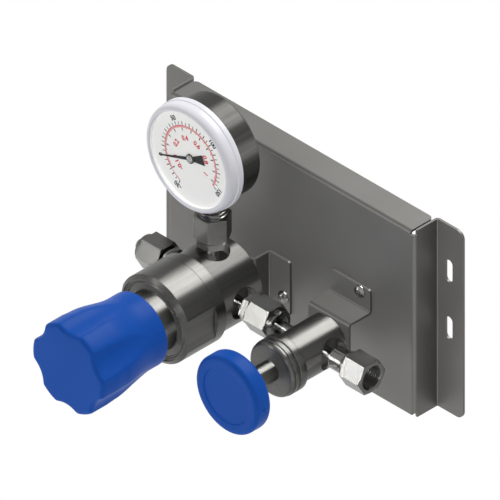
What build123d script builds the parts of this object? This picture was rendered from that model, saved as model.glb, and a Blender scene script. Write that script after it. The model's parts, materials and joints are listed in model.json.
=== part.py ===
# Gas regulator panel: a sheet metal wall panel that carries a pressure regulator with its
# gauge and, piped to the regulator's outlet, a diaphragm shut-off valve.
#
# Origin: centre of the four wall slots, in the wall plane. +X right, +Z up, and the user
# stands on the -Y side. "Depth" below always means the distance in front of the wall (-Y).
# All sizes are in millimetres.

from build123d import *
import math
import os

# Cuts run past a face by over_run, and points closer than near count as one place
over_run = 1.0
near = 0.01

# Panel, bent from one sheet
sheet = 1.5
bend_inner = 0.8
panel_width = 193.0
panel_top = 50.3
panel_bottom = -76.7
panel_depth = 20.0
flange_width = 20.0
flange_corner = 5.0
return_inset = 0.5
return_back = 1.5
return_corner = 3.0
corner_relief = 3.0
relief_margin = 0.4
slot_width = 5.5
slot_length = 15.0
slot_spacing = 38.6
slot_side = 9.0

# Where the regulator and the valve stand
regulator_x = -32.6
valve_pitch = 80.3
axis_z = -36.1
port_depth = 49.1

# Brackets and their screws
regulator_back = 34.0
valve_back = 38.3
regulator_bracket_side = 17.1
regulator_bracket_half = 18.3
regulator_flange = 15.9
valve_bracket_half = 15.85
valve_bracket_rise = 16.1
valve_bracket_drop = 14.0
valve_flange = 14.5
bracket_corner = 2.0
screw_radius = 2.0
screw_hole_radius = 2.25
screw_head_radius = 4.0
screw_head_height = 2.6
screw_head_rim = 0.8
screw_tail = 0.8
nut_flats = 7.0
nut_height = 3.2
regulator_screw_in = 11.0
regulator_screw_drop = 7.3
valve_screw_side = 7.9
valve_screw_rise = 10.8
body_screw_reach = 7.0
regulator_screw_pitch = 22.0
valve_screw_pitch = 17.0
thread_gap = 0.05
running_gap = 0.05

# Regulator body, cap nut and bonnet
body_radius = 25.0
body_length = 30.4
body_edge = 1.0
port_bore_radius = 9.9
port_floor = 18.0
passage_radius = 2.3
spigot_length = 9.6
chamber_radius = 17.0
chamber_floor = 1.6
chamber_hole_offset = 13.0
chamber_hole_radius = 2.0
drill_margin = 0.4
diaphragm_thickness = 0.4
cap_radius = 27.5
cap_length = 31.6
cap_side_wall = 3.5
cap_flat_depth = 2.1
cap_plain = 8.5
cap_wall = 6.0
cap_edge = 1.5
cap_groove_width = 1.6
cap_groove_depth = 0.8
line_groove = 0.35
bonnet_flange_gap = 0.5
neck_radius = 17.8
neck_gap = 0.5
neck_chamfer = 1.0
bonnet_length = 63.6
bonnet_roof = 8.0
spring_bore_radius = 11.5
plate_room = 6.0

# Knob and adjusting screw
knob_gap = 11.0
knob_length = 56.5
knob_rim_radius = 23.0
knob_waist = 8.0
knob_shoulder_radius = 27.5
knob_shoulder = 37.0
knob_radius = 28.0
knob_full = 43.0
knob_round = 2.5
knob_bore_gap = 0.8
knob_roof = 13.5
knob_boss_radius = 8.0
knob_boss_length = 3.0
flute_count = 6
flute_first_angle = 28.0
flute_floor_radius = 24.8
flute_cutter_radius = 18.4
flute_run_out = 34.0
flute_taper = 21.0
flute_dip = 1.5
adjust_radius = 5.0
adjust_insert = 8.0

# Inside the regulator
seat_bore_radius = 7.0
seat_depth = 58.0
seat_thickness = 2.0
retainer_clearance = 4.0
orifice_radius = 1.7
retainer_bore_radius = 2.2
poppet_chamber_radius = 5.0
poppet_chamber_length = 14.0
poppet_radius = 3.0
poppet_collar = 1.0
poppet_cone = 2.1
poppet_head_length = 4.5
poppet_stem_radius = 1.1
poppet_tail_radius = 1.8
poppet_tail_length = 5.0
poppet_wire = 0.8
poppet_coil_radius = 3.1
poppet_spring_turns = 4.0
plate_radius = 15.5
plate_thickness = 3.0
plate_boss_radius = 6.8
plate_boss_length = 2.5
spring_wire = 3.0
spring_coil_radius = 9.2
spring_turns = 7.0
wire_sides = 6
upper_seat_thickness = 4.0
upper_seat_radius = 11.2
upper_seat_boss_length = 3.5
upper_seat_room = 6.0
ball_radius = 2.5
ball_sink = 1.5

# Metal gasket face seal joints. Distances are from the axis of the body that carries the port.
tube_radius = 3.175
tube_bore_radius = 2.3
tube_socket = 1.0
weld_gap = 0.02
male_nut_flats = 15.9
male_nut_start = 29.0
male_hex_length = 4.6
male_thread_end = 41.2
male_thread_radius = 7.1
head_radius = 6.3
head_length = 3.8
bead_height = 0.3
bead_width = 0.6
gasket_thickness = 0.7
gasket_radius = 6.2
female_nut_flats = 19.05
female_nut_length = 18.9
female_nut_wall = 3.9
female_nut_end_radius = 8.5
female_nut_chamfer = 4.4
female_nut_mouth = 0.6
nut_pocket_radius = 6.45
nut_pocket_length = 4.3
inlet_stub = 4.0

# Diaphragm valve
valve_radius = 15.0
valve_body_length = 33.2
valve_port_floor = 8.7
valve_outlet_nut_start = 26.1
outlet_collar_radius = 6.9
outlet_collar_start = 17.0
valve_spigot_radius = 13.5
valve_spigot_length = 4.5
valve_chamber_radius = 10.5
valve_chamber_floor = 2.6
valve_passage_radius = 2.2
valve_return_offset = 7.2
valve_return_radius = 1.8
valve_seat_radius = 4.0
valve_seat_sink = 2.0
valve_diaphragm_thickness = 0.3
valve_nut_radius = 17.4
valve_nut_length = 12.5
valve_nut_wall = 5.0
valve_nut_edge = 2.0
valve_nut_groove = 6.0
valve_nut_groove_width = 0.9
valve_nut_groove_depth = 0.9
valve_neck_radius = 8.0
stem_radius = 6.35
button_radius = 6.0
button_thickness = 3.0
button_edge = 0.75
valve_pitch_per_turn = 1.0
valve_turns = 1.25

# Handwheel
wheel_gap = 23.0
wheel_radius = 24.5
wheel_thickness = 12.0
wheel_edge = 3.5
wheel_recess_radius = 18.0
wheel_recess = 1.0
wheel_back_radius = 20.0
wheel_back_recess = 5.0
wheel_hub_radius = 11.0
wheel_socket = 8.0
set_screw_radius = 2.0
set_screw_length = 8.0
set_screw_rise = 7.0

# Pressure gauge
gauge_z = 59.2
case_radius = 31.3
case_wall = 1.2
case_back = 41.5
case_length = 24.0
case_round = 3.0
dial_thickness = 0.8
dial_hole_radius = 3.0
gasket_height = 1.2
gasket_width = 1.2
window_thickness = 0.7
bezel_wall = 2.65
bezel_back = 58.5
bezel_step = 0.5
bezel_plain = 1.5
bezel_lip = 1.2
bezel_lip_bevel = 0.5
bezel_overlap = 1.5
bezel_crown_depth = 4.4
bezel_crown_width = 2.6
bezel_gap = 0.05
plug_radius = 6.0
plug_neck_radius = 5.0
plug_height = 1.2
plug_rise = 14.0
socket_flats = 13.0
socket_neck_radius = 3.5
socket_block_width = 16.0
socket_block_top = 18.0
socket_block_rise = 2.4
socket_bore_stop = 4.0
socket_block_start = 45.5
socket_block_end = 53.0
socket_hole_gap = 0.3

# Gauge movement. Angles are seen from the front, from +X towards +Z.
movement_front = 60.0
plate_sheet = 1.0
plate_width = 11.0
plate_top = 7.0
plate_bottom = 27.0
pillar_radius = 1.4
pillar_top = 4.8
pillar_bottom = 24.5
pillar_side = 3.6
pinion_teeth = 12
sector_wheel_teeth = 72
gear_module = 0.4
gear_addendum = 0.8
gear_root_gap = 0.12
gear_backlash = 0.08
pressure_angle = 20.0
pinion_start = 54.6
pinion_length = 4.0
arbor_radius = 0.9
sector_start = 55.4
sector_thickness = 1.6
sector_direction = -100.0
sector_teeth = 11
teeth_past_rest = 1.5
sector_rim = 2.4
sector_arm = 1.6
sector_arbor_radius = 1.0
sector_hub_radius = 2.4
sector_tail = 4.5
sector_tail_angle = -19.0
link_radius = 1.4
link_thickness = 0.8
link_gap = 0.15
link_pin_radius = 0.6
bourdon_radius = 22.0
bourdon_thickness = 3.0
bourdon_width = 6.5
bourdon_tip_angle = -40.0
bourdon_root_angle = -100.0
bourdon_seat_angle = 2.0
tip_lug_radius = 1.3
pointer_length = 25.6
pointer_tail = 11.0
pointer_tail_width = 6.4
pointer_tip_width = 0.5
pointer_root_width = 2.2
pointer_thickness = 0.35
pointer_lift = 0.25
pointer_hub_radius = 2.9
pointer_hub_height = 0.7
pointer_rest_angle = 200.3

# Places that follow from the sizes above
forward = Vector(0, -1, 0)
rightward = Vector(1, 0, 0)
leftward = Vector(-1, 0, 0)
upward = Vector(0, 0, 1)
bend_outer = bend_inner + sheet
panel_half = panel_width / 2
panel_height = panel_top - panel_bottom
flange_edge = panel_half + flange_width
slot_x = panel_half + slot_side
valve_x = regulator_x + valve_pitch
regulator_axis = Vector(regulator_x, 0, axis_z)
valve_axis = Vector(valve_x, 0, axis_z)
gauge_axis = Vector(regulator_x, 0, gauge_z)
regulator_port = Vector(regulator_x, -port_depth, axis_z)
valve_port = Vector(valve_x, -port_depth, axis_z)
bracket_face = panel_depth + sheet
spigot_radius = cap_radius - cap_side_wall
cap_flats = 2 * (cap_radius - cap_flat_depth)
cap_back = regulator_back + body_length
diaphragm_back = cap_back + spigot_length
bonnet_back = diaphragm_back + diaphragm_thickness
cap_front = cap_back + cap_length
bonnet_shoulder = cap_front - cap_wall
bonnet_front = bonnet_back + bonnet_length
knob_back = cap_front + knob_gap
knob_front = knob_back + knob_length
plate_back = bonnet_back
plate_front = plate_back + plate_thickness
upper_seat_front = bonnet_front - bonnet_roof - upper_seat_room
upper_seat_back = upper_seat_front - upper_seat_thickness
ball_centre = upper_seat_front + ball_radius - ball_sink
screw_tip = ball_centre + ball_radius - ball_sink
screw_end = knob_front - knob_roof + adjust_insert
retainer_back = seat_depth + seat_thickness
retainer_front = diaphragm_back - retainer_clearance
poppet_head_back = seat_depth + orifice_radius - poppet_cone - poppet_stem_radius
poppet_spring_front = poppet_head_back - poppet_head_length
head_start = male_thread_end
gasket_start = head_start + head_length
female_head_start = gasket_start + gasket_thickness
female_head_end = female_head_start + head_length
female_nut_end = female_head_end + female_nut_wall
female_nut_start = female_nut_end - female_nut_length
valve_shoulder = valve_back + valve_body_length
valve_diaphragm_back = valve_shoulder + valve_spigot_length
valve_bonnet_back = valve_diaphragm_back + valve_diaphragm_thickness
valve_nut_front = valve_shoulder + valve_nut_length
valve_lift = valve_pitch_per_turn * valve_turns
stem_back = valve_bonnet_back + button_thickness
wheel_back = valve_nut_front + wheel_gap
wheel_front = wheel_back + wheel_thickness
stem_front = wheel_back + wheel_socket
case_front = case_back + case_length
dial_front = case_front + dial_thickness
window_back = dial_front + gasket_height
window_front = window_back + window_thickness
bezel_front = window_front + bezel_lip
bezel_radius = case_radius + bezel_gap + bezel_wall
bezel_rim_radius = bezel_radius - bezel_step
bezel_crown_back = bezel_front - bezel_crown_depth
bezel_ring_front = bezel_crown_back - bezel_plain
bezel_opening = case_radius - bezel_overlap
gear_distance = gear_module * (pinion_teeth + sector_wheel_teeth) / 2
tube_middle = (socket_block_start + socket_block_end) / 2
bourdon_sweep = 360 + bourdon_root_angle - bourdon_tip_angle
link_start = sector_start + sector_thickness + link_gap
link_end = link_start + link_thickness
pin_end = link_end + link_gap

os.makedirs("parts", exist_ok=True)


def finish(piece, name):
    # Names a finished piece and writes its file
    piece.label = name
    export_step(piece, f"parts/{name}.step")


def facing(origin, direction, distance=0.0):
    # A plane across an axis, at a distance along it
    across = rightward if abs(direction.Z) + abs(direction.Y) > 0 else Vector(0, 1, 0)
    return Plane(origin=origin + direction * distance, x_dir=across, z_dir=direction)


def lengthwise(origin, direction):
    # A plane along an axis: x runs along the axis and y is the radius
    radial = rightward if direction.Z else upward
    return Plane(origin=origin, x_dir=direction, z_dir=direction.cross(radial))


def turn(origin, direction, outline, mode=Mode.ADD):
    # Turns an outline of (distance along the axis, radius) points round the axis
    with BuildSketch(lengthwise(origin, direction)) as section:
        with BuildLine():
            Polyline(*outline, close=True)
        make_face()
    revolve(section.sketch, axis=Axis(origin, direction), mode=mode)


def tube(origin, direction, start, end, outer, inner, mode=Mode.ADD):
    # A plain ring between two distances along an axis
    turn(origin, direction, [(start, inner), (end, inner), (end, outer), (start, outer)], mode)


def bar(origin, direction, start, end, radius, mode=Mode.ADD):
    tube(origin, direction, start, end, radius, 0.0, mode)


def hexagon(origin, direction, start, length, flats):
    with BuildSketch(facing(origin, direction, start)) as section:
        RegularPolygon(flats / 2, 6, major_radius=False)
    extrude(section.sketch, amount=length)


def clip_corners(origin, direction, start, end, flats, mouth=0.0, shoulder=0.0, shoulder_radius=0.0):
    # Turns the corners of a hexagon down at its mouth and, as a cone, at its shoulder
    corner = flats / math.sqrt(3) + thread_gap
    outline = [(start, 0), (start, flats / 2 if mouth else corner)]
    if mouth:
        outline.append((start + mouth, corner))
    if shoulder:
        outline.append((end - shoulder, corner))
    outline += [(end, shoulder_radius if shoulder else corner), (end, 0)]
    turn(origin, direction, outline, Mode.INTERSECT)


# The mounting panel: a shallow tray, open to the wall, with two mounting flanges
with BuildPart() as mounting_panel:
    with BuildSketch(Plane.XY.offset(panel_bottom)) as hat_section:
        with BuildLine():
            Polyline(
                (-flange_edge, 0),
                (-flange_edge, -sheet),
                (-panel_half, -sheet),
                (-panel_half, -panel_depth),
                (panel_half, -panel_depth),
                (panel_half, -sheet),
                (flange_edge, -sheet),
                (flange_edge, 0),
                (panel_half - sheet, 0),
                (panel_half - sheet, sheet - panel_depth),
                (sheet - panel_half, sheet - panel_depth),
                (sheet - panel_half, 0),
                close=True,
            )
        make_face()
        outside = [
            v for v in hat_section.vertices()
            if (abs(abs(v.X) - panel_half) < near and v.Y < -sheet - near)
            or (abs(abs(v.X) - panel_half + sheet) < near and v.Y > -near)
        ]
        fillet(outside, bend_outer)
        inside = [
            v for v in hat_section.vertices()
            if (abs(abs(v.X) - panel_half) < near and abs(v.Y + sheet) < near)
            or (abs(abs(v.X) - panel_half + sheet) < near and abs(v.Y + panel_depth - sheet) < near)
        ]
        fillet(inside, bend_inner)
    extrude(amount=panel_height)
    # The front plate stops short of the top and bottom, where the returns take over
    with BuildSketch(Plane.XZ.offset(panel_depth - bend_outer - relief_margin)) as relief_section:
        with Locations((0, panel_top), (0, panel_bottom)):
            Rectangle(panel_width + sheet, 2 * corner_relief)
    extrude(amount=bend_outer + sheet, mode=Mode.SUBTRACT)
    return_top = panel_top - return_inset
    return_bottom = panel_bottom + return_inset
    with BuildSketch(Plane.YZ.offset(corner_relief - panel_half)) as return_section:
        with BuildLine():
            Polyline(
                (-return_back, return_top),
                (-panel_depth, return_top),
                (-panel_depth, return_bottom),
                (-return_back, return_bottom),
                (-return_back, return_bottom + sheet),
                (sheet - panel_depth, return_bottom + sheet),
                (sheet - panel_depth, return_top - sheet),
                (-return_back, return_top - sheet),
                close=True,
            )
        make_face()
        fillet([v for v in return_section.vertices() if v.X < near - panel_depth], bend_outer)
        fillet(
            [v for v in return_section.vertices() if abs(v.X - sheet + panel_depth) < near],
            bend_inner,
        )
    extrude(amount=panel_width - 2 * corner_relief)
    return_ends = (
        mounting_panel.edges().filter_by(Axis.Z)
        .filter_by(lambda e: abs(e.center().Y + return_back) < near and e.length < 2 * sheet)
    )
    fillet(return_ends, return_corner)
    flange_ends = (
        mounting_panel.edges().filter_by(Axis.Y)
        .filter_by(lambda e: abs(e.center().X) > flange_edge - near)
    )
    fillet(flange_ends, flange_corner)
    with BuildSketch(facing(Vector(0, 0, 0), forward)):
        with GridLocations(2 * slot_x, slot_spacing, 2, 2):
            SlotOverall(slot_length, slot_width, rotation=90)
    extrude(amount=2 * sheet, both=True, mode=Mode.SUBTRACT)
    with Locations(facing(regulator_axis, forward, panel_depth)):
        with Locations((regulator_bracket_side + regulator_screw_in, -regulator_screw_drop)):
            Hole(screw_hole_radius, depth=2 * sheet)
    with Locations(facing(valve_axis, forward, panel_depth)):
        with Locations((valve_screw_side, valve_bracket_rise + valve_screw_rise)):
            Hole(screw_hole_radius, depth=2 * sheet)
finish(mounting_panel.part, "mounting_panel")

# The regulator's bracket: flange on the panel, wing forwards, and a front plate behind the body
with BuildPart() as regulator_bracket:
    wing = regulator_x + regulator_bracket_side
    far_side = regulator_x - regulator_bracket_side
    with BuildSketch(Plane.XY.offset(axis_z - regulator_bracket_half)) as section:
        with BuildLine():
            Polyline(
                (wing + regulator_flange, -panel_depth),
                (wing + regulator_flange, -bracket_face),
                (wing, -bracket_face),
                (wing, -regulator_back),
                (far_side, -regulator_back),
                (far_side, sheet - regulator_back),
                (wing - sheet, sheet - regulator_back),
                (wing - sheet, -panel_depth),
                close=True,
            )
        make_face()
        fillet(
            [v for v in section.vertices() if (abs(v.X - wing) < near and v.Y < near - regulator_back)
             or (abs(v.X - wing + sheet) < near and v.Y > -panel_depth - near)],
            bend_outer,
        )
        fillet(
            [v for v in section.vertices() if (abs(v.X - wing) < near and abs(v.Y + bracket_face) < near)
             or (abs(v.X - wing + sheet) < near and abs(v.Y - sheet + regulator_back) < near)],
            bend_inner,
        )
    extrude(amount=2 * regulator_bracket_half)
    corners = regulator_bracket.edges().filter_by(Axis.Y).filter_by(
        lambda e: abs(e.length - sheet) < near
    )
    fillet(corners, bracket_corner)
    with Locations(facing(regulator_axis, forward, bracket_face)):
        with Locations((regulator_bracket_side + regulator_screw_in, -regulator_screw_drop)):
            Hole(screw_hole_radius, depth=2 * sheet)
    with Locations(facing(regulator_axis, forward, regulator_back)):
        with GridLocations(1, regulator_screw_pitch, 1, 2):
            Hole(screw_hole_radius, depth=2 * sheet)
finish(regulator_bracket.part, "regulator_bracket")

# The valve's bracket: flange upwards on the panel, shelf forwards, front plate down
with BuildPart() as valve_bracket:
    shelf = axis_z + valve_bracket_rise
    with BuildSketch(Plane.YZ.offset(valve_x - valve_bracket_half)) as section:
        with BuildLine():
            Polyline(
                (-panel_depth, shelf + valve_flange),
                (-bracket_face, shelf + valve_flange),
                (-bracket_face, shelf),
                (-valve_back, shelf),
                (-valve_back, axis_z - valve_bracket_drop),
                (sheet - valve_back, axis_z - valve_bracket_drop),
                (sheet - valve_back, shelf - sheet),
                (-panel_depth, shelf - sheet),
                close=True,
            )
        make_face()
        fillet(
            [v for v in section.vertices() if (abs(v.Y - shelf) < near and v.X < near - valve_back)
             or (abs(v.Y - shelf + sheet) < near and v.X > -panel_depth - near)],
            bend_outer,
        )
        fillet(
            [v for v in section.vertices() if (abs(v.Y - shelf) < near and abs(v.X + bracket_face) < near)
             or (abs(v.Y - shelf + sheet) < near and abs(v.X - sheet + valve_back) < near)],
            bend_inner,
        )
    extrude(amount=2 * valve_bracket_half)
    corners = valve_bracket.edges().filter_by(Axis.Y).filter_by(
        lambda e: abs(e.length - sheet) < near
    )
    fillet(corners, bracket_corner)
    with Locations(facing(valve_axis, forward, bracket_face)):
        with Locations((valve_screw_side, valve_bracket_rise + valve_screw_rise)):
            Hole(screw_hole_radius, depth=2 * sheet)
    with Locations(facing(valve_axis, forward, valve_back)):
        with GridLocations(1, valve_screw_pitch, 1, 2):
            Hole(screw_hole_radius, depth=2 * sheet)
finish(valve_bracket.part, "valve_bracket")


def pan_head_screw(origin, direction, head_back, reach):
    # The head stands from head_back along the direction, and the shank runs the other way
    dome_rise = screw_head_height - screw_head_rim
    dome_radius = (screw_head_radius**2 + dome_rise**2) / (2 * dome_rise)
    dome_angle = math.degrees(math.asin(screw_head_radius / dome_radius))
    with BuildSketch(lengthwise(origin, direction)) as section:
        with BuildLine():
            crown = head_back + screw_head_height
            dome = CenterArc((crown - dome_radius, 0), dome_radius, 0, dome_angle)
            Polyline(
                dome @ 1,
                (head_back, screw_head_radius),
                (head_back, screw_radius),
                (head_back - reach, screw_radius),
                (head_back - reach, 0),
                dome @ 0,
            )
        make_face()
    revolve(section.sketch, axis=Axis(origin, direction))


# One screw holds each bracket to the panel, with a nut inside the tray
bracket_screw_places = [
    regulator_axis
    + rightward * (regulator_bracket_side + regulator_screw_in)
    - upward * regulator_screw_drop,
    valve_axis + rightward * valve_screw_side + upward * (valve_bracket_rise + valve_screw_rise),
]
nut_back = panel_depth - sheet - nut_height
with BuildPart() as bracket_screws:
    for place in bracket_screw_places:
        pan_head_screw(place, forward, bracket_face, bracket_face - nut_back + screw_tail)
finish(bracket_screws.part, "bracket_screws")

with BuildPart() as bracket_nuts:
    for place in bracket_screw_places:
        hexagon(place, forward, nut_back, nut_height, nut_flats)
        bar(
            place, forward, nut_back - over_run, nut_back + nut_height + over_run,
            screw_radius + thread_gap, Mode.SUBTRACT,
        )
finish(bracket_nuts.part, "bracket_nuts")

# Two screws from behind hold each body to its bracket's front plate
with BuildPart() as regulator_body_screws:
    for side in (-1, 1):
        place = regulator_axis + upward * side * regulator_screw_pitch / 2
        pan_head_screw(place, -forward, sheet - regulator_back, sheet + body_screw_reach)
finish(regulator_body_screws.part, "regulator_body_screws")

with BuildPart() as valve_body_screws:
    for side in (-1, 1):
        place = valve_axis + upward * side * valve_screw_pitch / 2
        pan_head_screw(place, -forward, sheet - valve_back, sheet + body_screw_reach)
finish(valve_body_screws.part, "valve_body_screws")

# Regulator body: inlet on the left, outlet on the right and the gauge port on top
with BuildPart() as regulator_body:
    turn(
        regulator_axis,
        forward,
        [
            (regulator_back, 0),
            (regulator_back, body_radius - body_edge),
            (regulator_back + body_edge, body_radius),
            (cap_back, body_radius),
            (cap_back, spigot_radius),
            (diaphragm_back, spigot_radius),
            (diaphragm_back, 0),
        ],
    )
    bar(
        regulator_axis, forward, diaphragm_back - chamber_floor, diaphragm_back + over_run,
        chamber_radius, Mode.SUBTRACT,
    )
    bar(regulator_axis, forward, seat_depth, diaphragm_back, seat_bore_radius + thread_gap, Mode.SUBTRACT)
    bar(
        regulator_axis, forward, seat_depth - poppet_chamber_length, seat_depth + over_run,
        poppet_chamber_radius, Mode.SUBTRACT,
    )
    for direction in (leftward, rightward, upward):
        with Locations(facing(regulator_port, direction, body_radius + sheet)):
            Hole(port_bore_radius, depth=body_radius + sheet - port_floor)
        bar(
            regulator_port, direction, port_floor - tube_socket, port_floor + over_run,
            tube_radius + weld_gap, Mode.SUBTRACT,
        )
    # The inlet leads under the seat, the other two ports lead to the diaphragm's chamber
    bar(regulator_port, leftward, 0, port_floor, passage_radius, Mode.SUBTRACT)
    for direction in (rightward, upward):
        bar(
            regulator_port, direction, chamber_hole_offset, port_floor,
            chamber_hole_radius - drill_margin, Mode.SUBTRACT,
        )
        riser = regulator_axis + direction * chamber_hole_offset
        bar(
            riser, forward, port_depth - chamber_hole_radius, diaphragm_back,
            chamber_hole_radius, Mode.SUBTRACT,
        )
    for side in (-1, 1):
        place = regulator_axis + upward * side * regulator_screw_pitch / 2
        bar(
            place, forward, regulator_back - over_run, regulator_back + body_screw_reach + screw_tail,
            screw_radius + thread_gap, Mode.SUBTRACT,
        )
finish(regulator_body.part, "regulator_body")

# Cap nut: clamps the bonnet and the diaphragm to the body. Two wrench flats on its front part.
with BuildPart() as cap_nut:
    turn(
        regulator_axis,
        forward,
        [
            (cap_back, spigot_radius + thread_gap),
            (cap_back, cap_radius),
            (cap_back + cap_plain - line_groove, cap_radius),
            (cap_back + cap_plain - line_groove, cap_radius - line_groove),
            (cap_back + cap_plain, cap_radius - line_groove),
            (cap_back + cap_plain, cap_radius),
            (cap_front, cap_radius),
            (cap_front, neck_radius + neck_gap),
            (bonnet_shoulder, neck_radius + neck_gap),
            (bonnet_shoulder, spigot_radius + thread_gap),
        ],
    )
    for direction in (leftward, rightward):
        with BuildSketch(facing(regulator_axis, direction, cap_flats / 2)) as flat_section:
            with Locations((0, 0)):
                Rectangle(2 * (cap_front + over_run), 2 * cap_radius)
            with Locations((0, 0)):
                Rectangle(2 * (cap_back + cap_plain), 2 * cap_radius, mode=Mode.SUBTRACT)
        extrude(flat_section.sketch, amount=cap_radius, mode=Mode.SUBTRACT)
    front_edges = cap_nut.edges().filter_by(
        lambda e: abs(e.center().Y + cap_front) < near
        and max(abs((e @ 0.5).X - regulator_x), abs((e @ 0.5).Z - axis_z)) > neck_radius + 2 * neck_gap
    )
    fillet(front_edges, cap_edge)
    groove_radius = (neck_radius + cap_flats / 2) / 2
    tube(
        regulator_axis, forward, cap_front - cap_groove_depth, cap_front + over_run,
        groove_radius + cap_groove_width / 2, groove_radius - cap_groove_width / 2, Mode.SUBTRACT,
    )
finish(cap_nut.part, "cap_nut")

# Bonnet: spring housing, whose neck carries the adjusting screw
with BuildPart() as bonnet:
    turn(
        regulator_axis,
        forward,
        [
            (bonnet_back, chamber_radius),
            (bonnet_back, spigot_radius - bonnet_flange_gap),
            (bonnet_shoulder, spigot_radius - bonnet_flange_gap),
            (bonnet_shoulder, neck_radius),
            (bonnet_front - neck_chamfer, neck_radius),
            (bonnet_front, neck_radius - neck_chamfer),
            (bonnet_front, adjust_radius + running_gap),
            (bonnet_front - bonnet_roof, adjust_radius + running_gap),
            (bonnet_front - bonnet_roof, spring_bore_radius),
            (bonnet_back + plate_room, spring_bore_radius),
            (bonnet_back + plate_room, chamber_radius),
        ],
    )
finish(bonnet.part, "bonnet")

# Diaphragm, clamped between the body and the bonnet
with BuildPart() as diaphragm:
    bar(regulator_axis, forward, diaphragm_back, bonnet_back, spigot_radius - bonnet_flange_gap)
finish(diaphragm.part, "diaphragm")

# The seat lies on the shoulder of its bore, held down by a screwed retainer
with BuildPart() as poppet_seat:
    tube(regulator_axis, forward, seat_depth, retainer_back, seat_bore_radius, orifice_radius)
finish(poppet_seat.part, "poppet_seat")

with BuildPart() as seat_retainer:
    tube(regulator_axis, forward, retainer_back, retainer_front, seat_bore_radius, retainer_bore_radius)
    with BuildSketch(facing(regulator_axis, forward, retainer_front)) as slot_section:
        Rectangle(2 * seat_bore_radius, passage_radius)
    extrude(slot_section.sketch, amount=-passage_radius, mode=Mode.SUBTRACT)
finish(seat_retainer.part, "seat_retainer")

# Poppet: closes the orifice from the inlet side, its stem reaches the diaphragm
with BuildPart() as poppet:
    cone_front = poppet_head_back + poppet_cone
    turn(
        regulator_axis,
        forward,
        [
            (poppet_spring_front - poppet_tail_length, 0),
            (poppet_spring_front - poppet_tail_length, poppet_tail_radius),
            (poppet_spring_front, poppet_tail_radius),
            (poppet_spring_front, poppet_radius + poppet_wire),
            (poppet_spring_front + poppet_collar, poppet_radius + poppet_wire),
            (poppet_spring_front + poppet_collar, poppet_radius),
            (poppet_head_back, poppet_radius),
            (cone_front, poppet_stem_radius),
            (diaphragm_back, poppet_stem_radius),
            (diaphragm_back, 0),
        ],
    )
finish(poppet.part, "poppet")


def coil_spring(axis, back, front, coil_radius, wire, turns):
    # A helical spring whose end coils touch the two faces
    height = front - back - wire
    start = axis + forward * (back + wire / 2)
    with BuildLine() as path:
        Helix(height / turns, height, coil_radius, center=start, direction=forward)
    line = path.line
    with BuildSketch(Plane(origin=line @ 0, z_dir=line % 0)) as section:
        RegularPolygon(wire / 2, wire_sides)
    sweep(section.sketch, path=line, is_frenet=True)


with BuildPart() as poppet_spring:
    coil_spring(
        regulator_axis, seat_depth - poppet_chamber_length, poppet_spring_front,
        poppet_coil_radius, poppet_wire, poppet_spring_turns,
    )
finish(poppet_spring.part, "poppet_spring")

# The range spring stands between the diaphragm's plate and a seat that the screw pushes
with BuildPart() as lower_spring_seat:
    turn(
        regulator_axis,
        forward,
        [
            (plate_back, 0),
            (plate_back, plate_radius),
            (plate_front, plate_radius),
            (plate_front, plate_boss_radius),
            (plate_front + plate_boss_length, plate_boss_radius),
            (plate_front + plate_boss_length, 0),
        ],
    )
finish(lower_spring_seat.part, "lower_spring_seat")

with BuildPart() as range_spring:
    coil_spring(regulator_axis, plate_front, upper_seat_back, spring_coil_radius, spring_wire, spring_turns)
finish(range_spring.part, "range_spring")

with BuildPart() as upper_spring_seat:
    turn(
        regulator_axis,
        forward,
        [
            (upper_seat_back - upper_seat_boss_length, 0),
            (upper_seat_back - upper_seat_boss_length, plate_boss_radius),
            (upper_seat_back, plate_boss_radius),
            (upper_seat_back, upper_seat_radius),
            (upper_seat_front, upper_seat_radius),
            (upper_seat_front, 0),
        ],
    )
    with Locations(facing(regulator_axis, forward, ball_centre)):
        Sphere(ball_radius + running_gap, mode=Mode.SUBTRACT)
finish(upper_spring_seat.part, "upper_spring_seat")

with BuildPart() as thrust_ball:
    with Locations(facing(regulator_axis, forward, ball_centre)):
        Sphere(ball_radius)
finish(thrust_ball.part, "thrust_ball")

with BuildPart() as adjusting_screw:
    bar(regulator_axis, forward, screw_tip, screw_end, adjust_radius)
    with Locations(facing(regulator_axis, forward, ball_centre)):
        Sphere(ball_radius + running_gap, mode=Mode.SUBTRACT)
finish(adjusting_screw.part, "adjusting_screw")

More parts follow.
